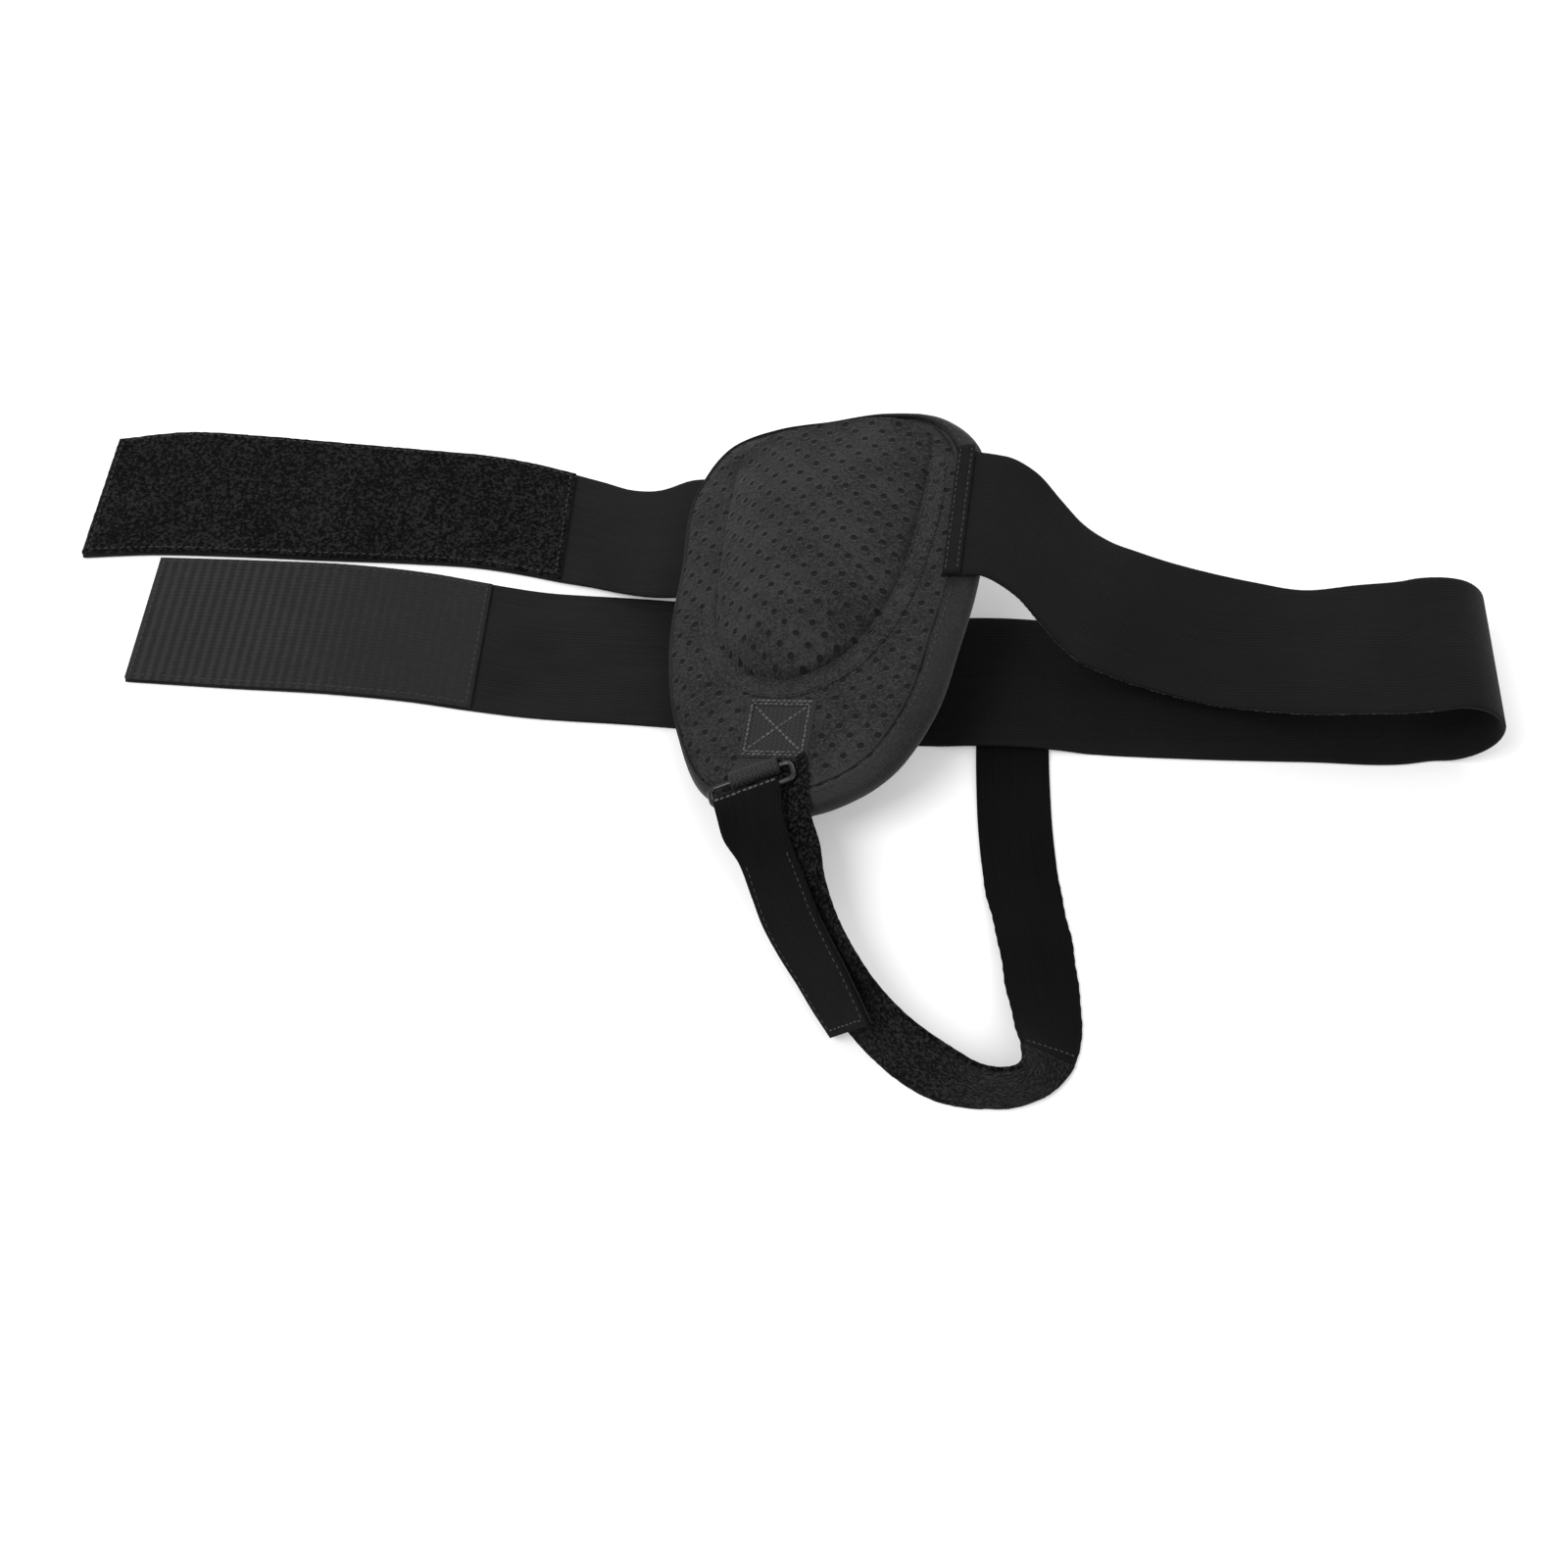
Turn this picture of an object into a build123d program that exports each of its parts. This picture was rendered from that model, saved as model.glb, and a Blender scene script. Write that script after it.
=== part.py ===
from build123d import *
import math
import os

os.makedirs("parts", exist_ok=True)

# Groin support belt: a padded shield on an elastic waist band, with a leg strap.
# Millimetres, +Z up. The belt lies on a table with the waist band along X.
# Points are laid out in a bench frame; every node is then shifted so that the
# middle of the footprint is at X0 Y0 and the table is at Z0.
CENTRE_X = -13.7
CENTRE_Y = 16.1

# ---------------------------------------------------------------- driving sizes
BAND_W = 60.0            # waist band width
BAND_T = 1.6             # waist band thickness
LEG_W = 28.0             # leg strap width
LEG_T = 1.4              # leg strap thickness
PILE_T = 1.6             # loop pile thickness
HOOK_T = 1.2             # hook tape thickness
BODY_GAP = 0.3           # air between two pieces that move apart

PAD_POINT = (10, 65, 30)  # middle of the shield's front face
PAD_ROLL = 14.0          # right side of the shield is raised
PAD_PITCH = 3.0          # top of the shield is raised
PAD_SPIN = -3.0          # shield turned clockwise in its own plane
FOAM_T = 6.5
PANEL_T = 1.5
LINING_T = 1.0
BINDING_T = 0.8
PANEL_INSET = 2.2        # wall of the edge binding
LIP_W = 6.5              # front lip of the binding, before its shift
LIP_SHIFT = -3.5         # the lip is wide on the right and narrow on the left

# the shield's outline, clockwise from the top, on its own face
SHIELD_EDGE = [(-7, 88.3), (20, 89.8), (43, 84.5), (57, 71), (61.5, 45), (60.5, 12), (54.5, -20),
               (45.5, -53), (30.5, -76), (8, -88.5), (-16, -90.5), (-37, -81.5), (-51, -56), (-59.5, -20),
               (-59.5, 20), (-56, 58), (-43, 78), (-27, 85)]

# pocket dome: the U it is sewn along, from the left end of the mouth to the right
POCKET_MOUTH = 78.0
POCKET_U = [(-42, 50), (-42, 10), (-40, -10), (-30, -28), (-11, -35.5), (10, -27), (26, -5),
            (34, 22), (38, 50)]
POCKET_H = 12.5
POCKET_WALL = 1.5
FLANGE_W = 8.0
FLANGE_T = 1.0
STITCH_W = 0.9
STITCH_T = 0.35

INSERT_TOP = 71.0        # top of the compression insert
INSERT_GAP = 1.3         # insert to pocket
COVER_T = 0.8

HEM_U = 52.5             # folded end of the waist band on the shield's right edge
HEM_V = 36.5
HEM_SPIN = -3.0
HEM_W = 7.0
HEM_T = 1.8

RING_BAR = 31.6          # ring bar length, middle of rod to middle of rod
RING_REACH = 7.0         # from one bar to the other
RING_ROD = 1.2           # rod radius
RING_SPIN = 20.7
RING_UPPER = (-18.4, -77.8)  # middle of the upper bar on the shield's face
RING_LIFT = 4.3          # rod axis over the shield's face


# ---------------------------------------------------------------- shield frame
def rad(degrees):
    return math.radians(degrees)


def shield_plane():
    across = Vector(math.cos(rad(PAD_ROLL)), 0, math.sin(rad(PAD_ROLL)))
    up = Vector(0, math.cos(rad(PAD_PITCH)), math.sin(rad(PAD_PITCH)))
    up = (up - across * up.dot(across)).normalized()
    normal = across.cross(up)
    x_dir = across * math.cos(rad(PAD_SPIN)) + up * math.sin(rad(PAD_SPIN))
    return Plane(origin=PAD_POINT, x_dir=x_dir, z_dir=normal)


SHIELD = shield_plane()


def on_shield(shape):
    """Move a shape drawn on the shield's face to its place on the bench."""
    return SHIELD.location * shape


def shield_point(u, v, w):
    return SHIELD.from_local_coords(Vector(u, v, w))


def save(shape, name):
    moved = Location((-CENTRE_X, -CENTRE_Y, 0)) * shape
    moved.label = name
    export_step(moved, f"parts/{name}.step")


# ---------------------------------------------------------------- general shapes
def shield_face(inset=0.0, shift=0.0):
    """The shield's outline, drawn smaller by inset all round."""
    across = [u for u, v in SHIELD_EDGE]
    along = [v for u, v in SHIELD_EDGE]
    mid_u = (max(across) + min(across)) / 2
    mid_v = (max(along) + min(along)) / 2
    su = 1 - 2 * inset / (max(across) - min(across))
    sv = 1 - 2 * inset / (max(along) - min(along))
    ring = [(mid_u + (u - mid_u) * su + shift, mid_v + (v - mid_v) * sv) for u, v in SHIELD_EDGE]
    return make_face(Spline(*ring, periodic=True))


def pocket_face(inset, height, mouth=POCKET_MOUTH):
    """The pocket's U at a height over the shield, drawn smaller by inset."""
    left = min(u for u, v in POCKET_U)
    right = max(u for u, v in POCKET_U)
    low = min(v for u, v in POCKET_U)
    middle = (left + right) / 2
    sx = 1 - inset / (middle - left)
    sy = 1 - inset / (mouth - low)
    points = [(middle + (u - middle) * sx, mouth + (v - mouth) * sy, height) for u, v in POCKET_U]
    start = (middle + (left + 1 - middle) * sx, mouth, height)
    end = (middle + (right + 2 - middle) * sx, mouth, height)
    curve = Spline(start, *points, end)
    return make_face([curve, Line(end, start)])


def dome(steps, mouth=POCKET_MOUTH):
    """A domed solid lofted through pocket outlines: (inset, height) each."""
    return loft([pocket_face(inset, height, mouth) for inset, height in steps])


def slab(face, low, high):
    return Pos(0, 0, low) * extrude(face, amount=high - low, dir=(0, 0, 1))


def strap_frames(edges):
    """Left point, right point and normal at every pair of edge points."""
    left = [Vector(*pair[0]) for pair in edges]
    right = [Vector(*pair[1]) for pair in edges]
    mid = [(a + b) * 0.5 for a, b in zip(left, right)]
    frames = []
    for i in range(len(mid)):
        ahead = mid[min(i + 1, len(mid) - 1)]
        behind = mid[max(i - 1, 0)]
        across = (right[i] - left[i]).normalized()
        normal = (ahead - behind).cross(across).normalized()
        frames.append((left[i], right[i], normal))
    return frames


def strap(frames, thickness, lift=0.0, inset=0.0):
    """A flat strap through frames, its middle lifted along the strap's normal."""
    sections = []
    for left, right, normal in frames:
        across = (right - left).normalized() * inset
        low = normal * (lift - thickness / 2)
        high = normal * (lift + thickness / 2)
        corners = [left + across + low, right - across + low, right - across + high, left + across + high]
        sections.append(make_face(Polyline(*corners, close=True)))
    return loft(sections, ruled=True)


def level_pairs(stations):
    """Edge pairs of a strap whose width lies along Y: (x, far y, near y, z) each."""
    return [((x, far, z), (x, near, z)) for x, far, near, z in stations]


def cross_row(left, right, normal, lift, inset):
    """A row of stitches straight across a strap at one frame."""
    start = left + (right - left).normalized() * inset
    end = right - (right - left).normalized() * inset
    along = (right - left).cross(normal).normalized() * (STITCH_W / 2)
    low = normal * lift
    high = normal * (lift + STITCH_T)
    bottom = make_face(Polyline(start - along + low, end - along + low, end + along + low,
                                start + along + low, close=True))
    top = make_face(Polyline(start - along + high, end - along + high, end + along + high,
                             start + along + high, close=True))
    return loft([bottom, top], ruled=True)


def group(shapes):
    return Compound(children=[solid for shape in shapes for solid in shape.solids()])


# ---------------------------------------------------------------- shield
BACK_W = -(LINING_T + FOAM_T + PANEL_T)


def build_shield():
    panel = shield_face(PANEL_INSET)
    save(on_shield(slab(panel, BACK_W, BACK_W + LINING_T)), "back_lining")
    save(on_shield(slab(panel, BACK_W + LINING_T, -PANEL_T)), "foam_core")
    save(on_shield(slab(panel, -PANEL_T, 0)), "front_panel")

    # C section: front lip, outer wall, back lip; the lip is wide on the right
    body = slab(shield_face(), BACK_W - BINDING_T, BINDING_T)
    core = slab(panel, BACK_W, 0)
    window = slab(shield_face(LIP_W, LIP_SHIFT), BACK_W - 5, 5)
    pocket_room = slab(pocket_face(-FLANGE_W - 0.3, 0, 95), 0, 5)
    save(on_shield(body - core - window - pocket_room), "edge_binding")

    # one row on the panel just inside the lip, one on the lip itself
    hem_room = Pos(HEM_U + 2, HEM_V, 0) * Box(18, BAND_W + 6, 6)
    rows = []
    for inset, low in ((LIP_W + 1.1, 0), (LIP_W - 1.9, BINDING_T)):
        row = slab(shield_face(inset, LIP_SHIFT), low, low + STITCH_T)
        row = row - slab(shield_face(inset + STITCH_W, LIP_SHIFT), low - 1, low + 1)
        rows.append(row - hem_room - slab(pocket_face(-FLANGE_W - 0.4, 0, 95), -1, 5))
    save(on_shield(group(rows)), "edge_stitching")


def build_pocket():
    outer = dome([(0, 0), (1.6, 6), (6, 10.5), (15, POCKET_H)])
    hollow = dome([(POCKET_WALL, -0.1), (POCKET_WALL + 1.7, 6), (POCKET_WALL + 6, 9.4),
                   (16.5, POCKET_H - POCKET_WALL)])
    mouth = Pos(0, 1.0, 0) * hollow
    save(on_shield(outer - hollow - mouth), "pocket_panel")

    flange = slab(pocket_face(-FLANGE_W, 0), 0, FLANGE_T)
    flange -= slab(pocket_face(-0.1, 0, POCKET_MOUTH + 2), -1, 3)
    flange = flange & slab(shield_face(PANEL_INSET + 1), -1, 3)
    save(on_shield(flange), "pocket_flange")

    rows = []
    for start in (1.6, 5.6):
        row = slab(pocket_face(-start - STITCH_W, 0, POCKET_MOUTH - 4), FLANGE_T, FLANGE_T + STITCH_T)
        row = row - slab(pocket_face(-start, 0, POCKET_MOUTH), -1, 4)
        row = row & (Pos(0, 0, FLANGE_T) * flange)
        rows.append(row)
    save(on_shield(group(rows)), "pocket_stitching")


def build_insert():
    base = POCKET_WALL + INSERT_GAP
    cover_steps = [(base, 0.3), (base + 1.8, 4.6), (base + 6.5, 8.0), (18.5, POCKET_H - POCKET_WALL - 1.4)]
    cover = dome(cover_steps, INSERT_TOP)
    core_steps = [(inset + COVER_T, height + (COVER_T if i == 0 else -COVER_T))
                  for i, (inset, height) in enumerate(cover_steps)]
    core = dome(core_steps, INSERT_TOP - COVER_T)
    save(on_shield(cover - core), "insert_cover")
    save(on_shield(core), "insert_core")


# ---------------------------------------------------------------- ring and its tab
def bar_vector():
    return Vector(math.cos(rad(RING_SPIN)), math.sin(rad(RING_SPIN)), 0)


def ring_reach_vector():
    return Vector(math.sin(rad(RING_SPIN)), -math.cos(rad(RING_SPIN)), 0)


def ring_place(along, reach, lift=RING_LIFT):
    """A point near the ring, in the shield's frame."""
    point = Vector(*RING_UPPER, lift) + bar_vector() * along + ring_reach_vector() * reach
    return point


def tube_on_bar(along, reach, length, outer, inner):
    centre = ring_place(along, reach)
    plane = Plane(origin=centre, x_dir=(0, 0, 1), z_dir=bar_vector())
    return plane.location * (Cylinder(outer, length) - Cylinder(inner, length + 1))


TAB_MID = (-10.8, -56.8)
TAB_SIZE = (27.0, 25.0)
TAB_T = 2.0
TAB_SPIN = -3.5
LOOP_MID = 2.0            # middle of the loop along the ring's bar
LOOP_W = 19.0
LOOP_R = 3.1
LOOP_T = 1.2


def build_tab():
    place = Pos(*TAB_MID, TAB_T / 2) * Rot(0, 0, TAB_SPIN)
    save(on_shield(place * Box(*TAB_SIZE, TAB_T)), "webbing_tab")

    width = TAB_SIZE[0] - 4
    height = TAB_SIZE[1] - 4
    frame = Box(width, height, STITCH_T) - Box(width - 2 * STITCH_W, height - 2 * STITCH_W, 1)
    slope = math.degrees(math.atan2(height, width))
    reach = math.hypot(width, height) - 3
    cross = Rot(0, 0, slope) * Box(reach, STITCH_W, STITCH_T)
    cross += Rot(0, 0, -slope) * Box(reach, STITCH_W, STITCH_T)
    top = Pos(*TAB_MID, TAB_T + STITCH_T / 2) * Rot(0, 0, TAB_SPIN)
    save(on_shield(top * (frame + cross)), "tab_stitching")

    # the tab's webbing runs on past its stitches and loops round the ring's upper bar
    loop = tube_on_bar(LOOP_MID, 0, LOOP_W, LOOP_R, RING_ROD + BODY_GAP + 0.1)
    low_left = ring_place(LOOP_MID - LOOP_W / 2, 0, 0)
    low_right = ring_place(LOOP_MID + LOOP_W / 2, 0, 0)
    seam = -TAB_SIZE[1] / 2 - 0.1
    tab_left = Vector(-TAB_SIZE[0] / 2, seam, 0).rotate(Axis.Z, TAB_SPIN) + Vector(*TAB_MID, 0)
    tab_right = Vector(LOOP_W - TAB_SIZE[0] / 2, seam, 0).rotate(Axis.Z, TAB_SPIN) + Vector(*TAB_MID, 0)
    tongue = make_face(Polyline(tab_left, tab_right, low_right, low_left, close=True))
    low = RING_LIFT - LOOP_R
    save(on_shield(loop + slab(tongue, low, low + LOOP_T)), "tab_loop")


def build_ring():
    corner = 2.2
    half_reach = RING_REACH / 2
    path = RectangleRounded(RING_BAR, RING_REACH, corner).wire()
    start = Plane(origin=path @ 0, z_dir=path % 0)
    rod = sweep(start * Circle(RING_ROD), path=path)
    middle = ring_place(0, half_reach)
    place = Plane(origin=middle, x_dir=bar_vector(), z_dir=(0, 0, 1))
    save(on_shield(place.location * rod), "strap_ring")


# ---------------------------------------------------------------- waist band
HUMP_RISE = LEG_T + 0.1   # the leg strap's sewn lap lies under the band here
BAND_Z = BAND_T / 2       # middle of the band where it lies on the table
BACK_RUN = [(-69.7, 82.5, 22.5, BAND_Z), (0, 80.5, 20.5, BAND_Z), (60, 80, 20, BAND_Z),
            (70, 80, 20, BAND_Z + HUMP_RISE), (105, 80, 20, BAND_Z + HUMP_RISE),
            (115, 80, 20, BAND_Z), (150, 80, 20, BAND_Z), (200, 81.5, 21.5, BAND_Z), (238, 83, 23, BAND_Z)]
TURN_X = 249.0
TURN_R = 18.8             # to the middle of the band
TURN_STEPS = 8
TURN_EDGES = (84, 24)
# far and near edge points of the front run, from the turn back to the shield
FRONT_RUN = [((238, 84, 37.2), (238, 24, 37.2)), ((232.6, 84.4, 34.3), (229.1, 23.9, 35)),
             ((216.9, 84.4, 30.5), (213.8, 24.6, 32)), ((197.3, 84.1, 26), (195.3, 26.0, 27.5)),
             ((179.9, 90.2, 21.5), (178.8, 30.6, 21)), ((163.7, 96.1, 18.5), (163.3, 35.0, 16)),
             ((147.2, 100.2, 19), (147.7, 39.8, 13.8)), ((134.3, 102.2, 22), (134.8, 42.2, 15.5)),
             ((121.6, 101.9, 28.5), (121.6, 43.5, 20.5)), ((110.5, 103.7, 36), (110.5, 45.0, 25.5)),
             ((101.3, 110.2, 42), (101.8, 49.6, 30)), ((92.4, 117.9, 47), (93.1, 56.4, 35.5)),
             ((82.9, 122.5, 50), (83.5, 63.1, 42))]
LAP_W = BINDING_T + BAND_Z  # middle of the band where it lies on the shield


def turn_pairs():
    pairs = []
    for step in range(TURN_STEPS + 1):
        angle = rad(-90 + 180 * step / TURN_STEPS)
        x = TURN_X + TURN_R * math.cos(angle)
        z = BAND_Z + TURN_R + TURN_R * math.sin(angle)
        pairs.append(((x, TURN_EDGES[0], z), (x, TURN_EDGES[1], z)))
    return pairs


def hem_pair(u, drop=0.0):
    """Both edges of the band where it lies on the shield at a given u."""
    lean = math.tan(rad(-HEM_SPIN)) * BAND_W / 2
    far = shield_point(u + lean, HEM_V + BAND_W / 2 - drop, LAP_W)
    near = shield_point(u - lean, HEM_V - BAND_W / 2, LAP_W)
    return (tuple(far), tuple(near))


def build_waist_band():
    back = level_pairs(BACK_RUN)
    turn = turn_pairs()
    hem = [hem_pair(63, 4), hem_pair(56, 2), hem_pair(49)]
    frames = strap_frames(back + turn + FRONT_RUN + hem)
    turn_start = len(back)
    turn_end = turn_start + TURN_STEPS
    save(strap(frames[:turn_start + 1], BAND_T), "waist_back_run")
    save(strap(frames[turn_start:turn_end + 1], BAND_T), "waist_turn")
    save(strap(frames[turn_end:], BAND_T), "waist_front_run")

    place = Pos(HEM_U, HEM_V, LAP_W + BAND_Z + HEM_T / 2) * Rot(0, 0, HEM_SPIN)
    save(on_shield(place * Box(HEM_W, BAND_W, HEM_T)), "band_hem")
    rows = []
    for side in (-1, 1):
        row_u = side * (HEM_W / 2 - 1.2)
        rows.append(place * Pos(row_u, 0, (HEM_T + STITCH_T) / 2) * Box(STITCH_W, BAND_W - 4, STITCH_T))
    save(on_shield(group(rows)), "hem_stitching")


# ---------------------------------------------------------------- tail and closing strap
# both as (x, far y, near y, z of the middle)
TAIL = [(-70, 82.5, 22.5, BAND_Z), (-85, 82.6, 22.6, BAND_Z), (-100, 83, 23, BAND_Z), (-125, 86, 25, BAND_Z),
        (-148, 89.5, 27.5, BAND_Z), (-180, 92, 29.2, BAND_Z), (-220, 92, 29.5, BAND_Z),
        (-262, 91, 30.2, BAND_Z)]
HOOK_FROM = 3             # station where the hook tape starts
CLOSING = [(-60, 136.5, 80.5, 5.2), (-72, 137, 83, 3.6), (-84, 139.5, 85, 2.4), (-97, 143, 87, 1.4),
           (-112, 147.5, 90, BAND_Z), (-130, 151.5, 92.5, BAND_Z), (-160, 154, 93.5, BAND_Z),
           (-195, 156, 93.8, BAND_Z), (-232, 157.3, 93.7, BAND_Z), (-268, 156.5, 93, BAND_Z),
           (-295, 151, 89.5, BAND_Z)]
PILE_FROM = 3             # station where the loop pile starts
CLOSING_HINGE_U = -64.0
LAP_V = 41.0
LAP_HALF = 29.0
PATCH_INSET = 0.6
PATCH_SEAM = 5.2          # stitch rows in from the strap's edges


def build_tail():
    frames = strap_frames(level_pairs(TAIL))
    save(strap(frames, BAND_T), "tail_strap")
    tape = frames[HOOK_FROM:]
    save(strap(tape, HOOK_T, (BAND_T + HOOK_T) / 2, PATCH_INSET), "hook_patch")
    rows = border_rows(tape, BAND_T / 2 + HOOK_T, PATCH_SEAM)
    save(group(rows), "hook_patch_stitching")


def border_rows(frames, lift, inset):
    """Two long rows of stitches near a patch's edges and one across each end."""
    rows = []
    for near_left in (True, False):
        edge = []
        for left, right, normal in frames:
            across = (right - left).normalized()
            middle = left + across * inset if near_left else right - across * inset
            edge.append((middle - across * STITCH_W / 2, middle + across * STITCH_W / 2, normal))
        rows.append(strap(edge, STITCH_T, lift + STITCH_T / 2))
    return rows


def lap_pair(u, w):
    far = shield_point(u, LAP_V + LAP_HALF, w)
    near = shield_point(u, LAP_V - LAP_HALF, w)
    return (tuple(far), tuple(near))


def build_closing_strap():
    lap_w = BACK_W - BINDING_T - BAND_Z
    lap = strap_frames([lap_pair(-46, lap_w), lap_pair(CLOSING_HINGE_U + BODY_GAP, lap_w)])
    save(strap(lap, BAND_T), "closing_strap_lap")
    frames = strap_frames([lap_pair(CLOSING_HINGE_U, lap_w)] + level_pairs(CLOSING))
    save(strap(frames, BAND_T), "closing_strap")
    pile = frames[PILE_FROM + 1:]
    save(strap(pile, PILE_T, (BAND_T + PILE_T) / 2, PATCH_INSET), "loop_patch")
    rows = border_rows(pile, BAND_T / 2 + PILE_T, PATCH_SEAM)
    save(group(rows), "loop_patch_stitching")


# ---------------------------------------------------------------- leg strap
# pairs: outer edge, inner edge
LEG_Z = LEG_T / 2
LEG_RUN = [((101, 38, LEG_Z), (73, 38, LEG_Z)), ((101, 8, LEG_Z), (73, 8, LEG_Z)),
           ((102, -18, LEG_Z), (74, -18, 0.9)), ((104.5, -41, LEG_Z), (76.6, -42.5, 2.0)),
           ((108, -60, LEG_Z), (80.5, -62, 4.6)), ((110, -79, LEG_Z), (83.2, -82.5, 8)),
           ((110.5, -95, LEG_Z), (85.6, -98, 13.2))]
LEG_RISE = [((107, -108.5, LEG_Z), (87, -108.5, 20)), ((99, -117.5, LEG_Z), (86.5, -116, 25.6)),
            ((88, -122.8, LEG_Z), (82, -119.5, 27.6)), ((75, -124.3, LEG_Z), (73.3, -119.5, 28.2)),
            ((61, -123, LEG_Z), (61.5, -112.5, 26.6)), ((46, -115.5, 0.8), (47.5, -102, 25.5)),
            ((33, -104, 1.0), (37, -91, 25.5)), ((20.5, -89, 2.2), (29, -79.5, 26)),
            ((8, -70, 4.2), (21.8, -65.5, 26.2)), ((-3, -52, 8.5), (17, -50.5, 26.5)),
            ((-10.5, -37, 13.5), (14.6, -37, 26.5)), ((-14, -34, 16.8), (12, -29.5, 27.4))]
FLAP = [((-18.4, -34, 19), (1, -26.8, 29.6)), ((-13.8, -41.6, 12.4), (5.2, -39.2, 25)),
        ((-8.4, -52.5, 7.8), (10.2, -52, 26)), ((-3.6, -62.5, 4.2), (15.3, -65.2, 26.5)),
        ((2.8, -73, 3.0), (20.6, -76.2, 27)), ((9.6, -83, 2.6), (26.2, -87, 27)),
        ((16, -93, 2.4), (31.1, -97.4, 27.5)), ((22.7, -102.6, 2.2), (35.6, -106.8, 27))]
FOLD_R = RING_ROD + BODY_GAP + LEG_T / 2   # middle of the strap round the ring's lower bar
FOLD_LEG = 3.7            # straight part of the fold past the bar
STRAP_FROM = RING_REACH + 4.8   # the rest of the strap starts here, clear of the turning fold
FOLD_W = 23.6             # the strap is gathered a little where it folds
FOLD_MID = -2.0           # middle of the fold along the bar
HOOKS_FROM = 3            # flap station where its hook tape starts


def ring_pair(reach, lift):
    """Both edges of the leg strap near the ring, on the bench."""
    outer = SHIELD.from_local_coords(ring_place(FOLD_MID - FOLD_W / 2, reach, lift))
    inner = SHIELD.from_local_coords(ring_place(FOLD_MID + FOLD_W / 2, reach, lift))
    return (tuple(outer), tuple(inner))


def fold_solid():
    """The leg strap folded round the ring's lower bar."""
    outer = FOLD_R + LEG_T / 2
    inner = FOLD_R - LEG_T / 2
    profile = Circle(outer) + Pos(FOLD_LEG / 2, 0) * Rectangle(FOLD_LEG, 2 * outer)
    profile -= Circle(inner) + Pos(FOLD_LEG / 2, 0) * Rectangle(FOLD_LEG, 2 * inner)
    cut = Pos(outer + FOLD_LEG, 0) * Rectangle(2 * outer, 4 * outer)
    profile -= cut
    origin = ring_place(FOLD_MID - FOLD_W / 2, RING_REACH)
    plane = Plane(origin=origin, x_dir=ring_reach_vector(), z_dir=bar_vector())
    return plane.location * extrude(profile, amount=FOLD_W)


def build_leg_strap():
    frames = strap_frames(LEG_RUN + LEG_RISE + [ring_pair(STRAP_FROM, RING_LIFT - FOLD_R)])
    seam = len(LEG_RUN) - 1
    save(strap(frames[:seam + 1], LEG_T), "leg_elastic_strap")
    save(strap(frames[seam:], LEG_T), "leg_pile_strap")
    save(cross_row(*frames[seam + 1], -LEG_T / 2 - STITCH_T, 2), "leg_seam_stitching")

    anchor = []
    for y in (25, 35):
        anchor.append(Pos(87, y, BAND_T + HUMP_RISE + STITCH_T / 2) * Box(LEG_W - 5, STITCH_W, STITCH_T))
    save(group(anchor), "leg_anchor_stitching")

    save(on_shield(fold_solid()), "leg_strap_fold")
    lift = RING_LIFT + FOLD_R
    flap = strap_frames([ring_pair(STRAP_FROM, lift)] + FLAP)
    save(strap(flap, LEG_T), "leg_flap")
    save(strap(flap[HOOKS_FROM:], HOOK_T, -(LEG_T + HOOK_T) / 2, 1.0), "leg_hook_tape")
    rows = border_rows(flap[HOOKS_FROM:], LEG_T / 2 + 0.12, 2.5)
    save(group(rows), "leg_flap_stitching")


build_shield()
build_pocket()
build_insert()
build_tab()
build_ring()
build_waist_band()
build_tail()
build_closing_strap()
build_leg_strap()
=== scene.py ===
import math

import bmesh
import bpy
import numpy as np
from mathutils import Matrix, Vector, geometry, noise


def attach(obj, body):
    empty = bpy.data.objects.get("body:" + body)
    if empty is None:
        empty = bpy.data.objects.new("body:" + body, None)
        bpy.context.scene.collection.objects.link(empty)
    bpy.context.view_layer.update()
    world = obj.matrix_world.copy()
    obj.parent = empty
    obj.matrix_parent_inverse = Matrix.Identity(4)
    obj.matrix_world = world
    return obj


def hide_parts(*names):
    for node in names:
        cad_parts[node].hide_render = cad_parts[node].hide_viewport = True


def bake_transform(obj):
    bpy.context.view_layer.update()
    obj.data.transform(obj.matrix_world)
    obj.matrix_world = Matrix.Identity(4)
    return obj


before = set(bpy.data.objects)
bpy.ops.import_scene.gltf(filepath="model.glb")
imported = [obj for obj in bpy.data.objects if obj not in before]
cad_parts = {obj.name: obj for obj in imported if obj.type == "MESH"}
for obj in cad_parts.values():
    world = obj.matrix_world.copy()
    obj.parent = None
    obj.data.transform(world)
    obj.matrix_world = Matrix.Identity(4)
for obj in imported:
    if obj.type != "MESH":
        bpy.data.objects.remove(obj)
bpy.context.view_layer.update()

# The model's own layout is in millimetres on a bench, as in the CAD source; the
# footprint's middle is at CENTRE there. to_world() turns bench points into metres.
CENTRE = np.array([-13.7, 16.1, 0.0])


def to_world(points):
    return (np.asarray(points, float) - CENTRE) * 0.001


def world_vector(point):
    return Vector(to_world(point))


# ---- sizes, in millimetres
BAND_W = 60.0
BAND_T = 1.6
LEG_T = 1.4
BAND_Z = BAND_T / 2
LEG_Z = LEG_T / 2
HUMP_RISE = LEG_T + 0.1
BODY_GAP = 0.3
TABLE_CLEAR = 0.02
UP = np.array([0, 0, 1.0])

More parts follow.
